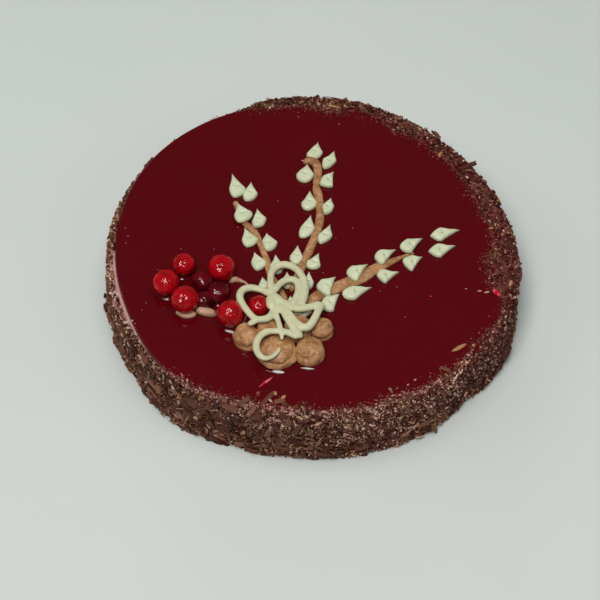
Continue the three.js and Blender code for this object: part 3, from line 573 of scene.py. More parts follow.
# %% Packed coat
COAT_SIDES = 720
COAT_WALL_ROWS = 28
COAT_RIM_ROWS = 12
COAT_ROWS = COAT_WALL_ROWS + COAT_RIM_ROWS + 1
WALL_HEIGHTS = (0.0, 0.08, 0.27, 0.50, 0.74, 0.93, 1.0)
WALL_INWARD = (0.9, 0.0, 1.1, 1.4, 1.5, 1.9, 3.1)
COAT_OVERLAP = 2.0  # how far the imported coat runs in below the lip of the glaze
COAT_RAGGED = 1.6
CRUMBS_LIE_OVER = 2  # where they reach in further than this, they lie on the glaze
RIM_FROM = 25  # from this height up, over some mm more, the lumps lift the rim too
RIM_FADE = 5
COAT_LUMPS = ((0.9, 7.0, 7.0), (0.7, 3.2, 3.2), (0.35, 1.3, 1.3))
RIM_LUMPS = 0.8  # how much of the lumps the rim takes


def coat_surface(degrees, along, overlap=COAT_OVERLAP):
    """Radius and height on the coat: along is 0 at the foot, 1 at the rim, 2 at its end."""
    rim = coat_rim(degrees)
    up = np.clip(along, 0, 1)
    wall = coat_foot(degrees, up) - np.interp(up, WALL_HEIGHTS, WALL_INWARD)
    over = crumb_reach(degrees)
    turn = np.radians(degrees)
    ragged = COAT_RAGGED * np.sin(turn * 37) * np.sin(turn * 13)
    lies_over = over > CRUMBS_LIE_OVER
    inner = glaze_radius(degrees) - np.where(lies_over, over + ragged, overlap)
    end = np.where(lies_over, TOP - 0.2, rim - 0.4)
    across = np.clip(along - 1, 0, 1)
    wide = wall + (np.minimum(inner, wall - 0.2) - wall) * across
    return wide, rim * up + (end - rim) * across**2


def coat_place(angle, share, off_axis):
    row = np.rint(share * COAT_ROWS)
    wall = row / COAT_WALL_ROWS
    rim = 1 + (row - COAT_WALL_ROWS) / COAT_RIM_ROWS
    wide, high = coat_surface(np.degrees(angle), np.where(wall < 1, wall, np.minimum(rim, 2)))
    last = row == COAT_ROWS
    wide = np.where(last, wide - 0.6, wide) * off_axis
    high = np.where(last, cream_low, high) * np.where(off_axis + share == 0, 0, 1)
    return wide * np.cos(angle), wide * np.sin(angle), high


coat = shape_blank(blank("packed_crumbs", COAT_SIDES, COAT_ROWS), coat_place)
rough = corners_of(coat) / MM
bump = lumps(rough, COAT_LUMPS)
rough[:, :2] *= (1 + bump / np.maximum(np.hypot(rough[:, 0], rough[:, 1]), 50))[:, None]
on_rim = np.clip((rough[:, 2] - RIM_FROM) / RIM_FADE, 0, 1) * (rough[:, 2] > cream_low + 0.1)
rough[:, 2] = np.where(rough[:, 2] > 0.5, rough[:, 2] + RIM_LUMPS * bump * on_rim, rough[:, 2])
move_corners(coat, rough * MM)
smooth(coat)


def crumb_finish(name, roughness, grain, depth, *stops):
    """Crumbs: each has its own shade along a ramp, with a little grain inside it."""
    finish = Finish(name, Roughness=roughness, Specular_IOR_Level=0.2)
    own = finish.add("ShaderNodeAttribute", {"attribute_name": "shade"}, out="Fac")
    fine = finish.speckle(grain, 3)
    finish.colour(finish.ramp(own * 0.75 + fine * 0.25, stops))
    finish.bump(fine, depth, 0.6)
    return finish


def packed_finish():
    """The mass between the crumbs: cell by cell dark or light brown, redder at the right, and
    darker than the crumbs as painted shade in the gaps among them.
    """
    finish = Finish("packed_crumbs", Roughness=0.8, Specular_IOR_Level=0.15)
    grain = finish.cells(620, "Color")
    shade = finish.add("ShaderNodeSeparateColor", {}, {"Color": grain}, "Red")
    mixed = shade * 0.6 + finish.speckle(150, 3) * 0.4
    # The darkest browns are painted shade for the gaps between the crumbs, on top of the brown of
    # the packed crumbs.
    brown = finish.ramp(mixed, [
        (0.25, (0.020, 0.005, 0.003)), (0.5, (0.075, 0.026, 0.014)), (0.78, (0.24, 0.115, 0.066)),
    ])
    soaked = finish.ramp(mixed, [
        (0.25, (0.028, 0.003, 0.004)), (0.5, (0.085, 0.014, 0.012)), (0.78, (0.19, 0.055, 0.045)),
    ])
    finish.colour(finish.blend(finish.axis("X").above(0.035, 0.05), brown, soaked))
    finish.bump(finish.cells(900), 0.0008, 0.9)
    return finish


FINISHES["packed"] = packed_finish()
serve(coat, "packed", "chocolate_crumb_coat", "cake")
print("packed coat", len(coat.data.polygons), "faces")

# %% [markdown]
# ## Little models of the bits
#
# A crumb breaks off at random, so its model is a coarse ball with its corners shaken. A
# flake or a shaving comes off a plane as a thin sheet that curls. A few models of each are
# enough, since every copy is turned and sized in its own way.

# %% Little models
def shaken(offset, seed):
    bpy.ops.object.mode_set(mode="EDIT")
    bpy.ops.mesh.select_all(action="SELECT")
    bpy.ops.transform.vertex_random(offset=offset, uniform=1, normal=0, seed=seed)
    bpy.ops.object.mode_set(mode="OBJECT")


def take_model(squash=(1, 1, 1)):
    """Keeps a little model's corners and triangles, and clears it away."""
    model = bpy.context.object
    modified("TRIANGULATE")
    faces = np.array([list(face.vertices) for face in model.data.polygons])
    corners = corners_of(model) * squash
    bpy.data.meshes.remove(model.data)
    return corners, faces


def bit_from_ball(seed, squash, levels=1, jitter=0.14):
    """An angular crumb: a ball of a few faces with its corners shaken."""
    fresh("crumb", bpy.ops.mesh.primitive_ico_sphere_add, subdivisions=levels, radius=0.5)
    shaken(jitter, seed)
    return take_model(squash)


def bit_from_sheet(long, wide, thick, curl, seed):
    """A flake or shaving: a sheet cut in strips, curled about its width and given thickness."""
    strips = {"x_subdivisions": long, "y_subdivisions": wide, "size": 1}
    sheet = fresh("flake", bpy.ops.mesh.primitive_grid_add, **strips)
    shaken(0.07, seed)
    corners = corners_of(sheet)
    corners[:, 2] = curl * (corners[:, 0] ** 2 - 0.08) + 0.3 * corners[:, 2]
    move_corners(sheet, corners)
    modified("SOLIDIFY", thickness=thick)
    return take_model()


CRUMB_MODELS = [bit_from_ball(seed, (1, 0.8, 0.65)) for seed in range(5)]
NUT_MODELS = [bit_from_ball(seed, (1, 0.75, 0.6), levels=2, jitter=0.05) for seed in range(3)]
# Strips along and across, thickness, curl and seed.
FLAKES = ((4, 2, 0.16, 0.25, 1), (4, 2, 0.14, -0.2, 2), (3, 2, 0.20, 0.05, 3))
SHAVINGS = ((6, 1, 0.10, 0.9, 4), (6, 1, 0.10, 0.35, 5), (5, 1, 0.12, -0.3, 6))
FLAKE_MODELS = [bit_from_sheet(*flake) for flake in FLAKES]
SHAVING_MODELS = [bit_from_sheet(*shaving) for shaving in SHAVINGS]
print("faces in a crumb, a flake and a shaving:",
      [len(models[0][1]) for models in (CRUMB_MODELS, FLAKE_MODELS, SHAVING_MODELS)])

# %% [markdown]
# ## Scattering
#
# Spots are drawn at random over the wall and the rim, and kept more often where a kind of
# bit lies thick. At each spot a model is laid on the surface or tumbled over it. Arrays do
# this in one go, and all bits of a kind become one mesh that carries each bit's own shade.

# %% Scattering
DARK_LEAN = 1.5  # above 1 most bits are dark
RIM_STRETCH = 0.35  # how much of the draw falls on the rim
RIM_WIDEST = 12


def place_round(degrees, wide, high):
    turn = np.radians(degrees)
    return np.stack([wide * np.cos(turn), wide * np.sin(turn), high], axis=1)


def coat_frames(degrees, along, proud):
    """Places on the coat with their directions: outwards, round the cake, and up the wall."""
    wide, high = coat_surface(degrees, along, -CREAM_SHOWS)
    wide_next, high_next = coat_surface(degrees, along + 0.01, -CREAM_SHOWS)
    rise = np.stack([wide_next - wide, high_next - high], axis=1)
    rise /= np.maximum(np.linalg.norm(rise, axis=1), 1e-9)[:, None]
    upward = np.array([0, 0, 1.0])
    radial = place_round(degrees, 1, 0 * degrees)
    round_about = np.cross(upward, radial)
    outward = radial * rise[:, 1:] - upward * rise[:, :1]
    at = place_round(degrees, wide, high) + outward * proud[:, None]
    return at, np.stack([round_about, np.cross(outward, round_about), outward], axis=2)


def coat_spots(draw, count, weight):
    """Spots spread over the coat as its area goes, thinned by a weight of 0 to 1."""
    degrees = draw.uniform(-180, 180, count * 6)
    along = draw.uniform(0, 1 + RIM_STRETCH, count * 6)
    rim_width = coat_surface(degrees, 1 + 0 * along)[0] - coat_surface(degrees, 2 + 0 * along)[0]
    on_rim = along > 1
    kept = ~on_rim | (draw.uniform(0, 1, count * 6) < rim_width / RIM_WIDEST)
    along = np.where(on_rim, 1 + (along - 1) / RIM_STRETCH, along)
    kept &= draw.uniform(0, 1, count * 6) < weight(degrees, along)
    return degrees[kept][:count], along[kept][:count]


def tumbled(draw, count):
    """Turned any way at all."""
    turns = draw.normal(size=(count, 4))
    return np.array([Quaternion(turn).normalized().to_matrix() for turn in turns])


def laid(draw, count, tilt):
    """Laid on the surface with any spin, tilted by up to so many degrees."""
    spin = draw.uniform(0, 2 * np.pi, count)
    lean = np.radians(draw.uniform(-tilt, tilt, count))
    return np.array([
        Matrix.Rotation(about, 3, "Z") @ Matrix.Rotation(over, 3, "X")
        for about, over in zip(spin, lean)
    ])


def mostly_dark(draw, count, low, high):
    """Shades of which most are dark and few are bright."""
    return low + (high - low) * draw.uniform(0, 1, count) ** DARK_LEAN


def joined_bits(name, models, at, turns, sizes, shades):
    """One mesh of many bits. Each is a model turned, sized in mm and set at its place."""
    corner_sets, face_sets, shade_sets = [], [], []
    taken = 0
    for which, (corners, faces) in enumerate(models):
        mine = slice(which, None, len(models))
        sized = corners[None] * sizes[mine][:, None, :]
        set_out = np.einsum("nij,nkj->nki", turns[mine], sized) + at[mine][:, None, :]
        corner_sets.append(set_out.reshape(-1, 3))
        starts = taken + np.arange(len(set_out))[:, None, None] * len(corners)
        face_sets.append((faces[None] + starts).reshape(-1, 3))
        shade_sets.append(np.repeat(shades[mine], len(corners)))
        taken += len(set_out) * len(corners)
    low, high = np.array(cad_box[0]) / MM + 0.1, np.array(cad_box[1]) / MM - 0.1
    low[2] = 0.02
    corners = np.clip(np.concatenate(corner_sets), low, high) * MM
    mesh = bpy.data.meshes.new(name)
    mesh.from_pydata(corners.tolist(), [], np.concatenate(face_sets).tolist())
    mesh.attributes.new("shade", "FLOAT", "POINT")
    mesh.attributes["shade"].data.foreach_set("value", np.concatenate(shade_sets))
    piece = bpy.data.objects.new(name, mesh)
    bpy.context.scene.collection.objects.link(piece)
    print(name, len(at), "bits,", len(mesh.polygons), "triangles")
    return piece


def coat_bits(name, models, seed, count, long, shape, proud, weight, tilt=None, shade=(0, 1)):
    draw = np.random.default_rng(seed)
    degrees, along = coat_spots(draw, count, weight)
    count = len(degrees)
    at, frames = coat_frames(degrees, along, draw.uniform(*proud, count))
    turns = frames @ laid(draw, count, tilt) if tilt else tumbled(draw, count)
    sizes = draw.triangular(*long, count)[:, None] * np.array(shape)
    sizes *= draw.uniform(0.8, 1.2, (count, 3))
    return joined_bits(name, models, at, turns, sizes, mostly_dark(draw, count, *shade))


# %% [markdown]
# ## Where each kind of bit lies
#
# A hand pressed the coat on, so nothing is spread evenly: brown crumbs and large flakes lie
# at the front left, red ones that took up jelly at the right and the back, and light ones
# with smears of cream at the front. Each kind has a weight for any place on the coat.

# %% Finishes and places of the bits
FINISHES["chocolate"] = crumb_finish(
    "chocolate", 0.6, 1500, 0.0002, (0.15, (0.052, 0.014, 0.008)),
    (0.5, (0.160, 0.060, 0.034)), (0.75, (0.33, 0.163, 0.100)), (0.95, (0.66, 0.43, 0.31)),
)
FINISHES["red_crumb"] = crumb_finish(
    "red_crumb", 0.7, 1500, 0.0003, (0.15, (0.060, 0.009, 0.008)),
    (0.5, (0.15, 0.036, 0.027)), (0.75, (0.29, 0.105, 0.080)), (0.95, (0.62, 0.33, 0.28)),
)
FINISHES["smear"] = crumb_finish(
    "smear", 0.6, 1200, 0.0002,
    (0.1, (0.34, 0.13, 0.11)), (0.5, (0.52, 0.26, 0.21)), (0.9, (0.74, 0.52, 0.45)),
)
# Pale grey patches on the jelly, most at the feet of the dollops and a berry: painted reflections
# of the lamp, made as flat pale bits.
FINISHES["painted_glint"] = crumb_finish(
    "painted_glint", 0.5, 900, 0.0002, (0.1, (0.50, 0.47, 0.45)), (0.6, (0.66, 0.64, 0.60)),
)
FINISHES["nut"] = crumb_finish(
    "nut", 0.55, 1400, 0.0002,
    (0.1, (0.26, 0.11, 0.04)), (0.5, (0.40, 0.20, 0.085)), (0.9, (0.56, 0.34, 0.17)),
)
SLOTS = {
    "chocolate": "chocolate_crumb_coat", "red_crumb": "chocolate_crumb_coat",
    "nut": "chocolate_crumb_coat", "smear": "berry_cream", "painted_glint": "white_cream",
    "shard": "jelly_glaze",
}


BARE_STRETCH = (-176, -114)
JAM_STRETCH = (-122, -25)
PATCH_LEAST = 0.05


def patchy(degrees, along, size, seed):
    """0.05 to 1 in patches of a size in mm, so that the handfuls show."""
    spots = np.stack([np.radians(degrees) * COAT_FOOT, along * COAT_RIM, 0 * degrees], axis=1)
    return np.clip(0.55 + 1.1 * clouds(spots, size, seed), PATCH_LEAST, 1)


def rightward(degrees):
    """0 at the front left, 1 at the right and the back right."""
    return 0.5 + 0.5 * np.cos(np.radians(degrees - 30))


def bare_band(degrees, along):
    """1 just below the glaze at the left, where cream shows and no crumbs stick."""
    return in_stretch(degrees, *BARE_STRETCH) * (along > 0.90)


def brown_crumbs(degrees, along):
    spread = (1 - 0.65 * rightward(degrees)) * patchy(degrees, along, 12, 1)
    return spread * (1 - 0.9 * bare_band(degrees, along))


def red_crumbs(degrees, along):
    """Crumbs soaked with jelly lie mostly at the right and the back, and near the glaze."""
    spread = np.clip(0.10 + 0.75 * rightward(degrees) + 0.3 * (along > 0.85), 0, 1)
    return spread * (1 - 0.9 * bare_band(degrees, along))


def light_crumbs(degrees, along):
    """Fine light crumbs lie at the front, more of them in the upper half, and at the left."""
    front = hump(turn_between(-72, degrees), 52) * (0.2 + 0.8 * along)
    left = 0.6 * hump(turn_between(-172, degrees), 40)
    return (0.06 + front + left) * patchy(degrees, along, 8, 4) * (1 - bare_band(degrees, along))


def coarse(degrees, along):
    """Large flakes lie mostly at the front left and along the foot, hardly any at the right."""
    front_left = 0.9 * hump(turn_between(-130, degrees), 48)
    foot = 0.30 * (along < 0.35) * (1 - 0.6 * rightward(degrees))
    spread = (0.04 + front_left + foot) * patchy(degrees, along, 10, 3)
    return spread * np.where(along > 1, 0.3, 1) * (1 - 0.9 * bare_band(degrees, along))


def creamy(degrees, along):
    """Smears of cream show at the front."""
    front = hump(turn_between(-82, degrees), 50) * (along > 0.45)
    return np.clip(0.05 + 0.6 * front, 0, 1) * patchy(degrees, along, 7, 5)


def jammy(degrees, along):
    """Crumbs that took up jelly lie beside it along the front."""
    return in_stretch(degrees, *JAM_STRETCH) * (along > 0.80) * patchy(degrees, along, 6, 6)


def anywhere(degrees, along):
    return 0.6 + 0 * degrees


# %% The bits of the coat
CHIP = (1, 0.9, 0.8)
LUMP = (1, 0.8, 0.5)
# Name, finish, models, seed, count, length (least, usual, most), shape, how proud it lies,
# where it lies. Some have a tilt, the others are tumbled; some have their own shades.
COAT_BITS = (
    ("chocolate_crumbs", "chocolate", CRUMB_MODELS, 11, 9000, (0.6, 1.3, 3.2), CHIP, (-0.3, 0.8),
     brown_crumbs),
    ("red_crumbs", "red_crumb", CRUMB_MODELS, 12, 9500, (0.4, 0.8, 2.0), CHIP, (-0.2, 0.5),
     red_crumbs),
    ("cream_smears", "smear", CRUMB_MODELS, 13, 1300, (0.7, 1.3, 3.4), LUMP, (0.1, 0.8), creamy),
    ("cream_lumps", "smear", CRUMB_MODELS, 17, 1500, (0.8, 1.6, 3.2), LUMP, (-0.1, 0.5),
     bare_band, None, (0.1, 1.3)),
    ("light_crumbs", "chocolate", CRUMB_MODELS, 18, 5000, (0.4, 0.8, 1.9), CHIP, (0.2, 1.1),
     light_crumbs, None, (0.42, 1.5)),
    ("jam_crumbs", "red_crumb", CRUMB_MODELS, 19, 1300, (0.5, 1.0, 2.2), CHIP, (0.2, 0.9), jammy,
     None, (0.3, 1.3)),
    ("cream_patches", "smear", NUT_MODELS, 20, 150, (2.0, 3.6, 7.0), (1, 0.5, 0.2), (0.1, 0.7),
     creamy, 15, (0.2, 1.1)),
    ("nut_bits", "nut", NUT_MODELS, 14, 60, (1.4, 2.2, 3.4), CHIP, (0.4, 1.2), anywhere),
    ("chocolate_flakes", "chocolate", FLAKE_MODELS, 15, 620, (2.4, 4.6, 9.0), (1, 0.42, 0.8),
     (0.3, 2.0), coarse, 62, (0.0, 0.66)),
    ("chocolate_shavings", "chocolate", SHAVING_MODELS, 16, 1300, (1.4, 2.6, 6.5),
     (1, 0.2, 0.5), (0.3, 1.7), coarse, 60, (0.25, 1.15)),
)
for name, finish, *bits in COAT_BITS:
    serve(coat_bits(name, *bits), finish, SLOTS[finish], "cake")

# %% [markdown]
# ## Crumbs that strayed on to the glaze
#
# The edge of the crumbs isn't a line. Crumbs thin out over the glaze within a few
# millimetres, and single flakes, bits of nut and specks of cream lie further in. The
# scatter is drawn at random. The single bits that one can point at have their own places.


# %% Strays near the edge
STRAY_SHAPE = (1, 0.85, 0.6)
STRAY_SINK = 0.15  # share of its length at which a stray's middle lies
STRAY_TILT = 25
LIP_STRETCH = (-130, -22)
LIP_SPREAD = 0.5
LIP_DROP = 2.8


def edge_spots(draw, count, weight):
    degrees = draw.uniform(-180, 180, count * 4)
    return degrees[draw.uniform(0, 1, count * 4) < weight(degrees)][:count]


def strays(name, seed, count, size, falloff, weight, shade=(0, 1)):
    """Bits that thin out inwards from the edge of the crumbs."""
    draw = np.random.default_rng(seed)
    degrees = edge_spots(draw, count, weight)
    count = len(degrees)
    wide = glaze_radius(degrees) - crumb_reach(degrees) - draw.exponential(falloff, count)
    long = draw.triangular(*size, count)
    at = place_round(degrees, wide, TOP + STRAY_SINK * long)
    sizes = long[:, None] * np.array(STRAY_SHAPE) * draw.uniform(0.8, 1.2, (count, 3))
    turns = laid(draw, count, STRAY_TILT)
    return joined_bits(name, CRUMB_MODELS, at, turns, sizes, mostly_dark(draw, count, *shade))


def lip_crumbs(name, seed, count, size, shade):
    """Crumbs that stick to the side of the glaze's lip along the front."""
    draw = np.random.default_rng(seed)
    degrees = edge_spots(draw, count, lambda turn: in_stretch(turn, *LIP_STRETCH))
    count = len(degrees)
    wide = glaze_radius(degrees) + draw.uniform(-LIP_SPREAD, LIP_SPREAD, count)
    at = place_round(degrees, wide, TOP - draw.uniform(0.0, LIP_DROP, count))
    sizes = draw.triangular(*size, count)[:, None] * draw.uniform(0.6, 1.1, (count, 3))
    shades = mostly_dark(draw, count, *shade)
    return joined_bits(name, CRUMB_MODELS, at, tumbled(draw, count), sizes, shades)


def ragged_edge(degrees):
    """Thick at the right and the back, thinner at the front, hardly any at the left."""
    return 0.01 + 0.9 * in_stretch(degrees, -20, 114) + 0.75 * in_stretch(degrees, -130, -20)


def front_edge(degrees):
    return 0.01 + 0.9 * in_stretch(degrees, -130, -30) * patchy(degrees, 0 * degrees, 7, 2)


EDGE_BITS = (
    ("red_crumb", lip_crumbs("lip_crumbs_red", 25, 1100, (0.6, 1.1, 2.4), (0.3, 1.1))),
    ("smear", lip_crumbs("lip_crumbs_pink", 26, 420, (0.6, 1.0, 2.6), (0.0, 0.9))),
    ("red_crumb",
     strays("soaked_crumbs", 21, 3600, (0.3, 0.6, 1.4), 1.2, ragged_edge, (0.0, 0.85))),
    ("chocolate", strays("fallen_crumbs", 22, 300, (0.6, 1.1, 2.6), 0.9, front_edge)),
    ("smear", strays("pink_bits", 23, 260, (0.4, 0.7, 1.6), 0.6, front_edge, (0, 0.6))),
    ("shard", strays("red_scraps", 24, 70, (0.4, 0.7, 1.3), 0.9, front_edge)),
)
for finish, piece in EDGE_BITS:
    serve(piece, finish, SLOTS[finish])

# %% Single bits
# Each has x, y, length, breadth and the direction it points in, in mm and degrees.
SINGLE_BITS = {
    "chocolate": [
        (-19.8, -86.8, 8.5, 2.0, 52), (-14.4, -88.2, 5.0, 2.4, 20), (83.2, 31.0, 9.5, 2.0, 62),
        (78.4, 40.6, 6.0, 1.6, -30), (-8.0, -91.8, 4.5, 1.4, 35), (61.0, -68.4, 5.0, 1.8, -20),
        (46.0, 77.0, 6.5, 2.2, -25), (24.4, 87.0, 5.5, 2.0, -8), (-24.5, -84.9, 2.6, 1.4, 80),
        (36.4, -86.9, 3.6, 1.8, 15), (-30.5, -89.5, 6.0, 2.2, 30),
    ],
    "nut": [
        (61.4, 59.8, 3.8, 2.2, 75), (68.0, -56.4, 8.2, 2.6, 33), (7.9, 88.7, 7.5, 1.8, -12),
        (-12.9, -86.2, 2.8, 2.0, 40), (-16.6, -84.4, 2.4, 2.0, 100), (85.5, 14.2, 2.8, 1.8, 10),
    ],
    # Most are specks and smears of cream. The three near x −91 at the left rim and the two at x
    # 78.6 and 82.0 are painted highlights on the jelly, made as pale bits.
    "smear": [
        (47.3, -74.8, 1.6, 1.2, 30), (44.0, -77.6, 1.4, 1.0, 60), (-64.7, -3.4, 0.6, 0.5, 0),
        (-74.9, -16.3, 0.5, 0.4, 0), (-79.2, -35.8, 0.6, 0.5, 40), (-80.8, -39.9, 0.5, 0.4, 0),
        (-48.8, -2.9, 0.5, 0.4, 0), (18.1, 12.2, 0.6, 0.5, 0), (9.9, 5.8, 0.5, 0.4, 20),
        (4.0, -15.4, 0.5, 0.5, 0), (39.3, -22.4, 0.7, 0.5, 0), (31.2, -25.1, 0.5, 0.4, 0),
        (43.0, -39.7, 0.6, 0.5, 0), (-18.9, 27.6, 0.5, 0.4, 0), (-37.8, 10.8, 0.6, 0.5, 0),
        (-10.1, 82.3, 0.8, 0.6, 0), (10.5, 78.4, 0.9, 0.6, 20), (-92.4, 8.3, 0.9, 0.5, 80),
        (-90.8, 3.5, 0.8, 0.5, 60), (-91.6, -0.8, 0.8, 0.5, 95), (72.2, -22.5, 1.0, 0.9, 0),
        (-7.2, 53.4, 1.8, 1.2, -40), (78.6, -23.6, 2.2, 1.2, 0), (82.0, -24.2, 2.8, 1.4, 15),
    ],
    # Painted reflections of the lamp on the jelly, mostly at the feet of the dollops and a berry,
    # made as flat pale bits.
    "painted_glint": [
        (-38.8, -51.0, 5.6, 1.7, -16), (-15.6, -72.6, 5.6, 2.2, -6), (-2.2, -70.2, 6.4, 1.1, -4),
        (36.0, -86.4, 2.4, 0.9, 30),
    ],
    "shard": [
        (-21.1, -78.2, 9.0, 1.5, 43), (86.8, -24.2, 5.2, 3.6, -50), (-24.8, -84.0, 1.6, 1.0, 0),
        (55.3, -27.5, 1.4, 1.1, 0), (85.0, -19.5, 1.6, 1.0, 20),
    ],
}
CRUMBS_DEEP = 1.2  # the bits at the edge lie on crumbs this deep
for kind, bits in SINGLE_BITS.items():
    x, y, long, broad, points = np.array(bits).T
    thick = np.minimum(broad * 0.7, 1.3)
    edge = np.degrees(np.arctan2(y, x))
    on_crumbs = np.hypot(x, y) > glaze_radius(edge) - crumb_reach(edge)
    at = np.stack([x, y, TOP + thick * 0.3 + CRUMBS_DEEP * on_crumbs], axis=1)
    turns = np.array([Matrix.Rotation(turn, 3, "Z") for turn in np.radians(points)])
    sizes = np.stack([long, broad, thick], axis=1)
    models = FLAKE_MODELS if kind == "chocolate" else NUT_MODELS
    singles = joined_bits(f"single_{kind}", models, at, turns, sizes, 0.25 + 0.3 * (y % 1))
    serve(singles, kind, SLOTS[kind])

# %% [markdown]
# ## Piped leaves
#
# Each leaf is one squeeze of a soft bag: a round heel where the cream came out, a crease
# where the nozzle was drawn away, and a tip that was pulled to a point. One mound serves
# for all. Every leaf has its own copy, stretched to its own length and width.

# %% Leaves
# x and y of the heel, the direction it points in, its length, and for its left and its right
# side how far the side stands out and where along the leaf that is.
LEAVES = {
    "a01": (-40.0, 28.1, 98, 15.3, 2.4, 0.37, 5.9, 0.33),
    "a02": (-34.1, 26.1, 83, 12.7, 2.6, 0.29, 4.6, 0.43),
    "a03": (-36.8, 11.3, 98, 12.4, 2.5, 0.37, 6.6, 0.44),
    "a04": (-29.0, 9.9, 90, 12.0, 2.2, 0.35, 4.9, 0.48),
    "a05": (-32.7, -2.0, 99, 11.9, 2.2, 0.4, 5.7, 0.37),
    "a06": (-22.7, -4.1, 96, 11.2, 2.5, 0.58, 4.9, 0.46),
    "a07": (-27.1, -15.9, 102, 11.5, 2.5, 0.46, 4.9, 0.4),
    "a08": (-18.0, -17.6, 95, 12.0, 3.4, 0.38, 3.6, 0.38),
    "a09": (-23.4, -27.4, 101, 8.4, 2.6, 0.38, 2.6, 0.38),
    "a10": (-13.0, -25.9, 91, 10.1, 3.2, 0.38, 3.2, 0.38),
    "b01": (-3.2, 53.9, 74, 12.0, 3.2, 0.23, 4.5, 0.49),
    "b02": (3.4, 47.7, 67, 13.2, 2.9, 0.41, 3.5, 0.58),
    "b03": (-6.4, 38.8, 83, 12.3, 4.6, 0.36, 4.4, 0.48),
    "b04": (1.6, 37.5, 53, 11.4, 2.2, 0.51, 5.6, 0.29),
    "b05": (-4.5, 21.3, 85, 12.9, 3.3, 0.33, 4.5, 0.43),
    "b06": (4.4, 19.1, 76, 11.3, 2.9, 0.44, 3.2, 0.54),
    "b07": (-7.3, 4.6, 71, 15.0, 2.2, 0.42, 5.0, 0.51),
    "b08": (2.2, 1.3, 68, 13.0, 3.0, 0.36, 3.8, 0.54),
    "b09": (-9.0, -11.7, 87, 12.0, 3.5, 0.35, 3.3, 0.37),
    "b10": (-3.3, -13.6, 60, 10.6, 2.6, 0.31, 4.5, 0.43),
    "b11": (-3.2, -26.2, 87, 10.9, 2.2, 0.47, 2.8, 0.4),
    "c01": (55.5, 7.7, 17, 15.3, 3.4, 0.41, 4.1, 0.31),
    "c02": (54.4, -1.7, 17, 14.0, 3.1, 0.43, 4.8, 0.36),
    "c03": (40.8, -1.4, 30, 12.7, 2.9, 0.45, 4.7, 0.31),
    "c04": (42.0, -8.1, 19, 10.4, 2.2, 0.49, 6.6, 0.28),
    "c05": (28.7, -8.4, 31, 11.8, 3.2, 0.4, 4.6, 0.2),
    "c06": (29.5, -16.9, 13, 11.1, 3.0, 0.27, 5.2, 0.31),
    "c07": (15.4, -18.1, 34, 12.1, 3.1, 0.41, 5.7, 0.2),
    "c08": (13.2, -28.3, 18, 15.0, 3.0, 0.43, 4.8, 0.33),
    "c09": (1.5, -27.3, 42, 11.7, 3.2, 0.46, 6.6, 0.2),
    "c10": (3.8, -37.0, 47, 12.3, 3.5, 0.51, 4.8, 0.26),
    "d01": (-10.2, -42.1, 12, 9.6, 3.8, 0.48, 4.3, 0.46),
    "d02": (-10.6, -37.0, 95, 7.2, 2.2, 0.38, 2.2, 0.38),
}
LEAVES_OVER = ("a03", "c03", "c05", "c07", "c09", "d01")  # these lie over their stem
LEAF_HEELS = {
    "b02": 0.75, "b04": 0.75, "b06": 0.75, "b08": 0.75, "c01": 1.0, "c02": 1.0, "c06": 1.0,
}
LEAF_SIDES = 64
LEAF_ROWS = 22
LEAF_RINGS_INWARD = 1.8  # above 1 more of the rings lie on the top than on the sides
LEAF_HEIGHT = 2.9
LEAF_OVER_STEM = 1.8
LEAF_BELLY = 0.38  # where along the leaf it is highest
LEAF_FULLNESS = 1.2  # above 1 the sides bend inwards on their way to the tip
LEAF_HEEL = 0.50  # the lower, the blunter the heel; the leaves in LEAF_HEELS have their own
LEAF_FLATNESS = 0.55  # below 1 the top is flat and the sides are steep
LEAF_LEAN = 0.08  # how far a crease may lean
LEAF_LUMPS = (0.20, 3.2)  # depth and size
CREASE_AT = 0.44
CREASE_DEPTH = 0.62
CREASE_WIDTH = 0.8


def copy_of(piece, name):
    """A copy with its own mesh."""
    other = piece.copy()
    other.data = piece.data.copy()
    other.name = name
    bpy.context.scene.collection.objects.link(other)
    return other


def leaf_side(share, blunt, wide, widest):
    """How far a side stands out at a share of the leaf's length."""
    heel = (1 - np.clip(1 - share / widest, 0, 1) ** 2) ** blunt
    tip = np.clip((1 - share) / (1 - widest), 0, 1) ** LEAF_FULLNESS
    return wide * heel * tip


def leaf_place(length, left, right, heel, lifted, lean):
    middle = (left[0] - right[0]) / 2

    def place(angle, share, off_axis):
        rise = (1 - (1 - share) ** LEAF_RINGS_INWARD) * np.pi / 2
        lift = np.sin(rise) ** LEAF_FLATNESS
        undercut = 1 - 0.05 * np.exp(-lift / 0.08)
        reach = np.cos(rise) ** LEAF_FLATNESS * undercut * off_axis
        along = np.clip((1 + np.cos(angle)) / 2, 0, 1)
        on_left = np.sin(angle) > 0
        side = np.where(on_left, leaf_side(along, heel, *left), -leaf_side(along, heel, *right))
        x = length * (LEAF_BELLY + (along - LEAF_BELLY) * reach)
        y = middle + (side - middle) * reach
        sideways = (y - middle) / (left[0] + right[0]) * 2
        crease = (CREASE_AT + 0.10 * sideways**2 + lean * sideways) * length
        fold = np.exp(-(((x - crease) / CREASE_WIDTH) ** 2))
        fold *= np.clip(1.4 - 2 * np.abs(sideways), 0, 1)
        tip = np.maximum(0, x / length - 0.6)
        beyond = (x > crease) * np.clip(1 - 2 * tip, 0, 1)
        z = LEAF_HEIGHT * (1 - 0.5 * tip) * lift - CREASE_DEPTH * lift * (fold + 0.25 * beyond)
        return x, y, z + lifted
    return place


def set_down(piece, x, y, points):
    """Turns a piece to its direction and sets it on the glaze, in its mesh."""
    along, across, up = corners_of(piece).T / MM
    turn = math.radians(points)
    move_corners(piece, MM * np.stack([
        x + along * math.cos(turn) - across * math.sin(turn),
        y + along * math.sin(turn) + across * math.cos(turn),
        TOP + up,
    ], axis=1))
    return piece


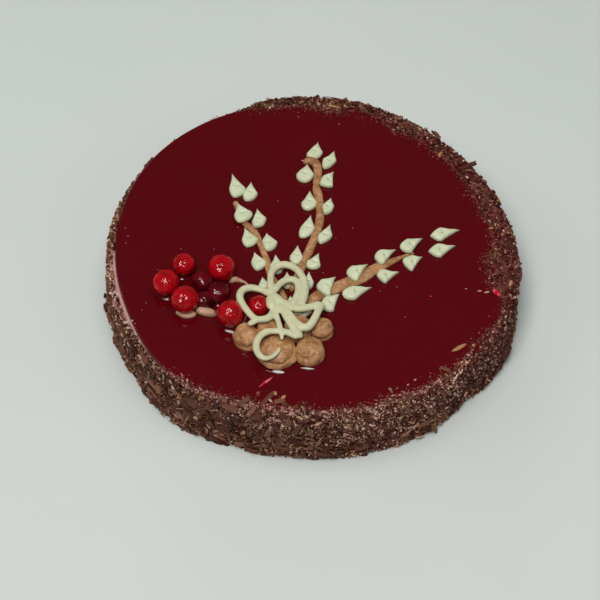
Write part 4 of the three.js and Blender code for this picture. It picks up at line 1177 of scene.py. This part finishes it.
leaf_blank = blank("leaf_blank", LEAF_SIDES, LEAF_ROWS)
leaf_draw = np.random.default_rng(5)
for name, (x, y, points, length, *sides) in LEAVES.items():
    piece = copy_of(leaf_blank, f"piped_leaf_{name}")
    heel = LEAF_HEELS.get(name, LEAF_HEEL)
    lifted = LEAF_OVER_STEM if name in LEAVES_OVER else 0
    lean = leaf_draw.uniform(-LEAF_LEAN, LEAF_LEAN)
    shape_blank(piece, leaf_place(length, sides[:2], sides[2:], heel, lifted, lean))
    uneven = corners_of(piece) / MM
    depth, size = LEAF_LUMPS
    uneven += depth * clouds(uneven, size, 3 + points)[:, None] * (uneven[:, 2:] > 0.1)
    move_corners(piece, uneven * MM)
    smooth(set_down(piece, x, y, points))
    serve(piece, "pale_cream", "white_cream", f"leaf_{name}")
bpy.data.meshes.remove(leaf_blank.data)
print("leaves", len(LEAVES), "with", LEAF_SIDES * LEAF_ROWS, "faces each")

# %% [markdown]
# ## Stems, dabs and a thread
#
# These were piped along a line, so each is a blank drawn out along a curve: flat where it
# lies on the glaze, rounded above, and uneven as the hand slowed and hurried. The curve
# passes through a few stops, each with the width of the stroke there. The thin thread is
# what the nozzle drew after it, and it has no solid of its own.

# %% Strokes
# The height of each, and its stops.
STROKES = {
    "stem_left": (2.0, (-40.0, 26.4, 3.4), (-38.6, 22, 2.6), (-34.6, 13, 3.4), (-29.8, 7.6, 3.6),
        (-27.2, 1.9, 3.2), (-24.8, -4.5, 3.0), (-22.6, -11.3, 3.8), (-21.2, -17.3, 3.6),
        (-17.8, -24, 3.2), (-14.2, -31, 3.2), (-13, -41, 3)),
    "stem_middle": (2.8, (-6.8, 51.6, 2.6), (-3.4, 53.2, 4.2), (-0.4, 50.4, 4.6),
        (0.4, 43.7, 4.2), (-0.1, 39.0, 4.0), (-0.3, 37.3, 2.8), (-0.2, 35.6, 4.0),
        (1.2, 29.1, 4.6), (1.9, 20.8, 4.2), (1.7, 14.2, 4.4), (0, 6, 4.2), (-2.4, -1.6, 4.4),
        (-5.6, -11.3, 4.2), (-8.6, -19.9, 3.8), (-11, -27.1, 3.4)),
    "stem_right": (2.0, (47.8, -2.4, 1.4), (45, -3.4, 1.6), (42, -5, 1.8), (37, -7.8, 3.4),
        (32, -10.6, 5.2), (27, -14, 6), (21.5, -18.4, 6.6), (15.5, -21.6, 6.8), (8, -25.6, 6.2),
        (1, -30, 5.6), (-5.4, -36.3, 4.6), (-8.6, -41, 3.6)),
    "dab_front": (3.2, (-55.6, -39.7, 3.0), (-51, -40.6, 4.6), (-45.8, -42.2, 3.4)),
    "dab_back": (2.6, (-40.6, -22.4, 3.2), (-37.4, -21.4, 2.8), (-33.6, -22.6, 1.2),
        (-30.8, -24.6, 0.6)),
    "thread": (0.6, (-36.0, -49.0, 0.6), (-34.3, -48.0, 0.8), (-32.6, -44.6, 0.6),
        (-31.4, -40.4, 0.4)),
    "dab_under_berry": (1.9, (-65.0, -40.4, 1.8), (-60.4, -42.6, 3.4), (-55.0, -41.4, 3.2)),
}
STROKE_SIDES = 20
STROKE_STEP = 0.8  # mm between the rings of a stroke
STROKE_LUMPS_UP = ((0.32, 3.0, 4), (0.20, 1.3, 8))
STROKE_LUMPS_ASIDE = ((0.24, 1.8, 6),)


def route_through(stops, step):
    """Evenly spaced places on a smooth line through the stops, and their spacing."""
    stops = np.array(stops, float)
    gaps = np.linalg.norm(np.diff(stops, axis=0), axis=1) ** 0.5
    knots = np.concatenate([[0], np.cumsum(gaps)])
    slopes = np.gradient(stops, knots, axis=0)
    at = np.linspace(0, knots[-1], 60 * len(stops))
    piece = np.clip(np.searchsorted(knots, at) - 1, 0, len(gaps) - 1)
    span = gaps[piece][:, None]
    u = (at - knots[piece])[:, None] / span
    line = (
        (1 + 2 * u) * (1 - u) ** 2 * stops[piece] + u * (1 - u) ** 2 * span * slopes[piece]
        + u**2 * (3 - 2 * u) * stops[piece + 1] + u**2 * (u - 1) * span * slopes[piece + 1]
    )
    run = np.concatenate([[0], np.cumsum(np.linalg.norm(np.diff(line, axis=0), axis=1))])
    count = max(6, round(run[-1] / step))
    even = np.linspace(0, run[-1], count + 1)
    return np.stack([np.interp(even, run, axis) for axis in line.T], axis=1)


def beside(line, row, aside):
    """Where one is in plan, so far to the left of a row of the line."""
    ahead = np.gradient(line[:, :2], axis=0)
    ahead /= np.linalg.norm(ahead, axis=1)[:, None]
    return line[row, 0] - ahead[row, 1] * aside, line[row, 1] + ahead[row, 0] * aside


def stroke(name, height, stops):
    line = route_through(stops, STROKE_STEP)
    rows = len(line) - 1

    def place(angle, share, off_axis):
        row = np.rint(share * rows).astype(int)
        width = line[row, 2]
        end = np.minimum(share, 1 - share) * rows * STROKE_STEP
        round_end = np.sqrt(np.clip(end / (width / 2), 0.0, 1) * 0.96 + 0.04)
        across, up = np.cos(angle) * off_axis, np.sin(angle) * off_axis
        aside = np.sign(across) * np.abs(across) ** 0.8 * width / 2 * round_end
        tall = height * np.minimum(1, 0.45 + width / 6)
        lifted = np.where(up > -0.1, np.clip(up, 0, 1) ** 0.62 * tall * round_end**0.7, 0)
        lifted = np.where(off_axis < 0.5, tall * 0.3 * round_end, lifted)
        return *beside(line, row, aside), TOP - 0.05 + lifted

    piece = shape_blank(blank(name, STROKE_SIDES, rows), place)
    uneven = corners_of(piece) / MM
    high = np.clip((uneven[:, 2] - TOP) / height, 0, 1)
    uneven[:, 2] += high * lumps(uneven, STROKE_LUMPS_UP)
    uneven[:, :2] += (lumps(uneven, STROKE_LUMPS_ASIDE) * high)[:, None]
    move_corners(piece, uneven * MM)
    return smooth(piece)


for name, (height, *stops) in STROKES.items():
    finish = "cocoa_cream" if name.startswith("stem") else "pale_cocoa"
    nodes = [name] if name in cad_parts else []
    serve(stroke(f"piped_{name}", height, stops), finish, "cocoa_cream", *nodes)
print("strokes", len(STROKES))

# %% [markdown]
# ## Dollops
#
# A dollop is piped straight down and the nozzle is twisted away, so one soft ridge coils up
# a dome to a low peak. The folds are sharper in their valleys than on their backs, as soft
# cream's are, and each dollop is lumpy in its own way.

# %% Dollops
# x, y, the direction it faces, radius, height, the twist in radians from the foot to the
# peak, and how much longer than broad it is.
DOLLOPS = {
    "dollop_1": (-30.6, -55, 120, 6.7, 7.2, 6.4, 1.12),
    "dollop_2": (-16.2, -63.2, 5, 8.7, 8.2, 9.5, 1.1),
    "dollop_3": (-1.7, -62.4, 70, 7.2, 8, 5.2, 1),
    "dollop_4": (3.7, -49.4, 150, 5.9, 7, 7.6, 1),
    "dollop_5": (-21, -50.6, 50, 6.2, 7.4, 8.2, 1),
    "dollop_6": (-7.2, -49.6, 95, 7.0, 7.6, 6.0, 1),
}
DOLLOP_SIDES = 80
DOLLOP_ROWS = 44
DOLLOP_FOLD = 0.16
DOLLOP_MIDDLE = 2  # mm above the glaze, from where the lumps swell out
DOLLOP_LUMPS = ((0.8, 4.2, 3), (0.36, 1.9, 7), (0.12, 0.8, 0))


def dollop_place(radius, height, twist, long):
    def place(angle, share, off_axis):
        rise = share * np.pi / 2
        lift = np.sin(rise) ** 0.9
        reach = np.cos(rise) ** 0.75 * (1 - 0.07 * np.exp(-lift / 0.10)) * off_axis
        wave = np.abs(np.sin((angle - twist * lift) / 2)) ** 0.5
        fold = DOLLOP_FOLD * (wave - 0.8) * np.clip(lift * 5, 0, 1)
        wide = radius * reach * (1 + fold)
        z = lift * height * (1 + 0.5 * fold * (lift > 0.4) * off_axis)
        return wide * np.cos(angle) * long, wide * np.sin(angle), z
    return place


for name, (x, y, faces, *size) in DOLLOPS.items():
    piece = shape_blank(blank(f"piped_{name}", DOLLOP_SIDES, DOLLOP_ROWS), dollop_place(*size))
    lumpy = corners_of(set_down(piece, x, y, faces)) / MM
    outward = lumpy - np.array([x, y, TOP + DOLLOP_MIDDLE])
    outward /= np.maximum(np.linalg.norm(outward, axis=1), 0.1)[:, None]
    lift = np.clip((lumpy[:, 2] - TOP) / 1.5, 0, 1)
    swell = lumps(lumpy, DOLLOP_LUMPS) * lift
    move_corners(piece, (lumpy + outward * swell[:, None]) * MM)
    serve(smooth(piece), "dollop_cream", "cocoa_cream", name)
print("dollops", len(DOLLOPS))

# %% [markdown]
# ## Berries
#
# The berries are dipped in jelly, so they are glossy, and they sit a little sunk in it.
# Each starts as a ball whose corners are moved: a flat where it rests, a slightly uneven
# skin, and a shallow dimple where its flower was.

# %% Berries
# x, y, radius, and how high it is for its width.
BERRIES = {
    "berry_1": (-62.4, -16.3, 5.6, 1),
    "berry_2": (-70.2, -27.6, 6.4, 0.97),
    "berry_3": (-60.6, -37.3, 6.6, 1),
    "berry_4": (-44.4, -18.3, 6.5, 1.02),
    "berry_5": (-38.9, -44.6, 6.5, 1),
    "berry_6": (-25.8, -38.8, 5.1, 1),
    "dark_berry_1": (-53.2, -25.2, 5.2, 0.94),
    "dark_berry_2": (-45.2, -31.2, 5.3, 0.88),
    "dark_berry_3": (-51.6, -35.2, 4.4, 0.88),
}
BERRY_FLAT = 0.9
BERRY_SKIN = 0.035
DIMPLE_TOWARDS = Vector((-0.1, -0.62, 0.78)).normalized()
DIMPLE_SIZE = 0.20
DIMPLE_DEPTH = 0.05


def berry_ball(name, x, y, radius, squash):
    ball = {"segments": 48, "ring_count": 32, "radius": 1}
    piece = fresh(name, bpy.ops.mesh.primitive_uv_sphere_add, **ball)
    round_ball = corners_of(piece)
    facing = round_ball @ np.array(DIMPLE_TOWARDS)
    ring = np.sqrt(np.maximum(0, 2 - 2 * facing)) / DIMPLE_SIZE
    skin = 1 + BERRY_SKIN * clouds(round_ball * 3, 1.6, x) - DIMPLE_DEPTH * np.exp(-(ring**2))
    ball = round_ball * skin[:, None]
    ball[:, 2] = np.maximum(ball[:, 2], -BERRY_FLAT) + BERRY_FLAT
    ball *= np.array([radius, radius * (0.96 + 0.04 * squash), radius * squash])
    move_corners(piece, (ball + np.array([x, y, TOP])) * MM)
    return smooth(piece)


for name, berry in BERRIES.items():
    kind = "dark_berry" if name.startswith("dark") else "red_berry"
    serve(berry_ball(f"glossy_{name}", *berry), kind, kind, name)
print("berries", len(BERRIES))

# %% [markdown]
# ## Jelly drawn up round the feet
#
# Where the berries and dollops were set into the soft jelly it climbed a little way up
# them. That thin rim is what catches the light at their feet.

# %% Jelly feet
FOOT_PROFILE = np.array([(1.30, -0.1), (1.14, 0.10), (1.03, 0.30), (0.95, 0.62), (0.90, 1.0)])
FOOT_SIDES = 48
BERRY_FOOT = (0.84, 1.5)  # share of the radius, height in mm
DOLLOP_FOOT = (0.97, 0.7)


def jelly_foot(name, x, y, radius, share_of_it, high):
    rows = len(FOOT_PROFILE) - 1

    def place(angle, share, off_axis):
        reach, lift = FOOT_PROFILE[np.rint(share * rows).astype(int)].T
        ragged = 1 + 0.05 * np.sin(3 * angle + x) + 0.03 * np.sin(7 * angle + y)
        reach = reach * radius * share_of_it * np.where(lift < 0.5, ragged, 1) * off_axis
        return x + reach * np.cos(angle), y + reach * np.sin(angle), TOP + lift * high
    return smooth(shape_blank(blank(f"foot_{name}", FOOT_SIDES, rows), place))


def joined(name, pieces):
    deselect()
    for piece in pieces:
        piece.select_set(True)
    bpy.context.view_layer.objects.active = pieces[0]
    bpy.ops.object.join()
    bpy.context.object.name = name
    return bpy.context.object


feet = [jelly_foot(name, *berry[:3], *BERRY_FOOT) for name, berry in BERRIES.items()]
for name, (x, y, _, radius, *_) in DOLLOPS.items():
    feet.append(jelly_foot(name, x, y, radius, *DOLLOP_FOOT))
feet = joined("jelly_feet", feet)
serve(feet, "jelly", "jelly_glaze")
print("jelly feet", len(feet.data.polygons), "faces")

# %% [markdown]
# ## The lattice
#
# The lattice was piped in the air over the dollops: loops of one thread that sag on to what
# is below and run together where they cross. The threads are drawn out along their curves,
# remeshed into one skin, and relaxed, which rounds the places where they meet.

# %% Lattice
LATTICE_STRANDS = [
    # loop round the berry at the left
    ((-17.5, -33.3, 7.6, 3.8), (-21.7, -33.2, 7.6, 3.4), (-24.6, -31.8, 7.4, 2.6),
     (-27.9, -30.6, 7.2, 3.0), (-30.8, -30.5, 7.2, 3.2), (-33.3, -31.7, 7.4, 3.2),
     (-34.7, -34.3, 7.8, 3.2), (-34.7, -37.6, 8.4, 3.1), (-33.6, -40.8, 9.0, 3.0),
     (-31.7, -44.0, 9.2, 2.8), (-29.4, -47.2, 9.4, 2.7), (-26.7, -49.8, 9.6, 2.8),
     (-23.9, -49.9, 9.6, 2.9), (-21.2, -49.0, 9.5, 3.2), (-19.3, -46.7, 9.4, 3.4),
     (-18.6, -43.6, 9.2, 3.8)),
    # short tail on the first dollop
    ((-25.8, -50.1, 9.6, 2.7), (-28.5, -51.9, 9.7, 2.5), (-30.3, -53.4, 9.8, 2.0)),
    # tall loop at the back
    ((-19.7, -38.0, 8.4, 3.4), (-20.3, -32.8, 7.6, 3.1), (-20.7, -27.6, 6.8, 2.9),
     (-20.8, -22.5, 6.1, 2.8), (-20.0, -18.6, 5.6, 3.0), (-17.8, -16.0, 5.3, 3.2),
     (-14.7, -14.9, 5.2, 3.3), (-11.6, -15.6, 5.3, 3.2), (-8.7, -17.7, 5.5, 3.0),
     (-6.5, -21.0, 5.9, 3.0), (-4.9, -25.1, 6.5, 3.0), (-4.3, -29.6, 7.1, 3.2),
     (-4.7, -34.1, 7.8, 3.4), (-5.7, -38.7, 8.6, 3.6), (-6.8, -41.8, 9.0, 3.6)),
    # small loop inside it
    ((-19.2, -32.7, 7.6, 3.4), (-17.4, -29.1, 7.0, 2.8), (-15.4, -26.3, 6.6, 2.9),
     (-13.0, -24.6, 6.4, 3.0), (-10.4, -24.4, 6.4, 3.0), (-8.3, -25.9, 6.6, 3.2),
     (-7.3, -29.0, 7.0, 3.4), (-7.4, -32.9, 7.6, 3.6), (-8.3, -36.9, 8.2, 3.8),
     (-9.8, -40.2, 8.9, 3.8), (-10.6, -42.4, 9.0, 3.6)),
    # the thick middle, where the strands run together
    ((-20.5, -34.7, 7.9, 3.8), (-20.1, -40.0, 8.8, 4.3), (-19.3, -44.2, 9.2, 4.3)),
    ((-20.3, -34.7, 7.9, 3.8), (-17.9, -36.6, 8.2, 4.1), (-15.5, -39.5, 8.7, 4.3),
     (-12.6, -41.3, 9.0, 4.6), (-9.3, -41.2, 9.0, 4.3)),
    ((-17.7, -43.0, 9.1, 4.3), (-14.4, -43.4, 9.2, 4.3), (-11.6, -43.3, 9.2, 3.8)),
    # out to the corner at the right
    ((-11.2, -41.5, 9.0, 3.8), (-7.9, -42.8, 9.1, 3.4), (-4.6, -42.5, 9.1, 3.2),
     (-1.4, -41.6, 9.0, 3.2), (1.4, -40.4, 8.9, 3.2), (3.8, -38.9, 8.6, 3.0)),
    # and back round the front
    ((4.0, -38.8, 8.6, 3.0), (3.0, -41.6, 9.0, 3.1), (1.7, -44.9, 9.3, 3.1),
     (0.5, -48.2, 9.5, 3.2), (-1.0, -51.5, 9.7, 3.4), (-2.8, -53.8, 9.8, 3.5),
     (-5.1, -53.8, 9.8, 3.4), (-7.5, -51.8, 9.7, 3.1), (-9.6, -49.0, 9.5, 3.0),
     (-11.8, -45.9, 9.3, 3.2), (-13.9, -43.1, 9.1, 3.8)),
    # down to the front
    ((-15.4, -41.7, 9.0, 3.8), (-13.9, -45.2, 9.3, 3.2), (-12.2, -49.0, 9.5, 3.1),
     (-10.4, -52.4, 9.7, 3.2), (-8.5, -55.6, 9.9, 3.4), (-6.4, -58.3, 10.0, 3.5),
     (-5.0, -59.5, 9.9, 2.9)),
    # thin straight strand across the middle
    ((-18.1, -43.0, 9.1, 3.4), (-17.6, -46.5, 9.4, 2.4), (-16.6, -50.0, 9.6, 2.2),
     (-15.7, -53.5, 9.8, 2.2), (-15.0, -56.4, 9.9, 2.2), (-14.5, -59.1, 9.9, 1.5),
     (-14.4, -61.2, 9.7, 1.1)),
    # round curl on the second dollop
    ((-6.1, -59.4, 9.9, 3.2), (-8.9, -58.4, 10.0, 3.1), (-11.7, -57.2, 10.0, 2.8),
     (-14.7, -56.5, 9.9, 2.7), (-17.9, -56.5, 9.9, 2.5), (-21.2, -57.0, 10.0, 2.8),
     (-23.9, -58.8, 9.9, 2.9), (-25.5, -61.4, 9.7, 3.0), (-26.1, -64.7, 9.3, 3.0),
     (-25.4, -67.7, 9.0, 2.9), (-23.7, -70.0, 8.8, 2.5), (-21.4, -70.9, 8.8, 2.0),
     (-19.1, -70.2, 8.8, 1.7), (-17.1, -68.6, 8.9, 1.5), (-15.7, -66.6, 9.1, 1.4),
     (-15.1, -64.8, 9.3, 1.2)),
]
STRAND_EXTRA = 0.25  # mm of radius that the relaxing takes off again
STRAND_FLATNESS = 0.82
STRAND_STEP = 0.7
STRAND_SIDES = 16
MELT_VOXEL = 0.38
MELT_ROUNDS = 5


def strand(number, stops):
    line = route_through(stops, STRAND_STEP)
    rows = len(line) - 1

    def place(angle, share, off_axis):
        row = np.rint(share * rows).astype(int)
        end = np.minimum(share, 1 - share) * rows * STRAND_STEP
        half = line[row, 3] / 2 + STRAND_EXTRA
        radius = half * np.sqrt(np.clip(end / half, 0.08, 1)) * off_axis
        sag = np.sin(angle) * radius * STRAND_FLATNESS
        return *beside(line, row, np.cos(angle) * radius), TOP + line[row, 2] + sag
    return shape_blank(blank(f"strand_{number}", STRAND_SIDES, rows), place)


strands = [strand(number, stops) for number, stops in enumerate(LATTICE_STRANDS)]
lattice = joined("piped_lattice", strands)
modified("REMESH", mode="VOXEL", voxel_size=MELT_VOXEL * MM)
modified("SMOOTH", iterations=MELT_ROUNDS)
serve(smooth(lattice), "lattice_cream", "white_cream", "lattice")
print("lattice", len(lattice.data.polygons), "faces")
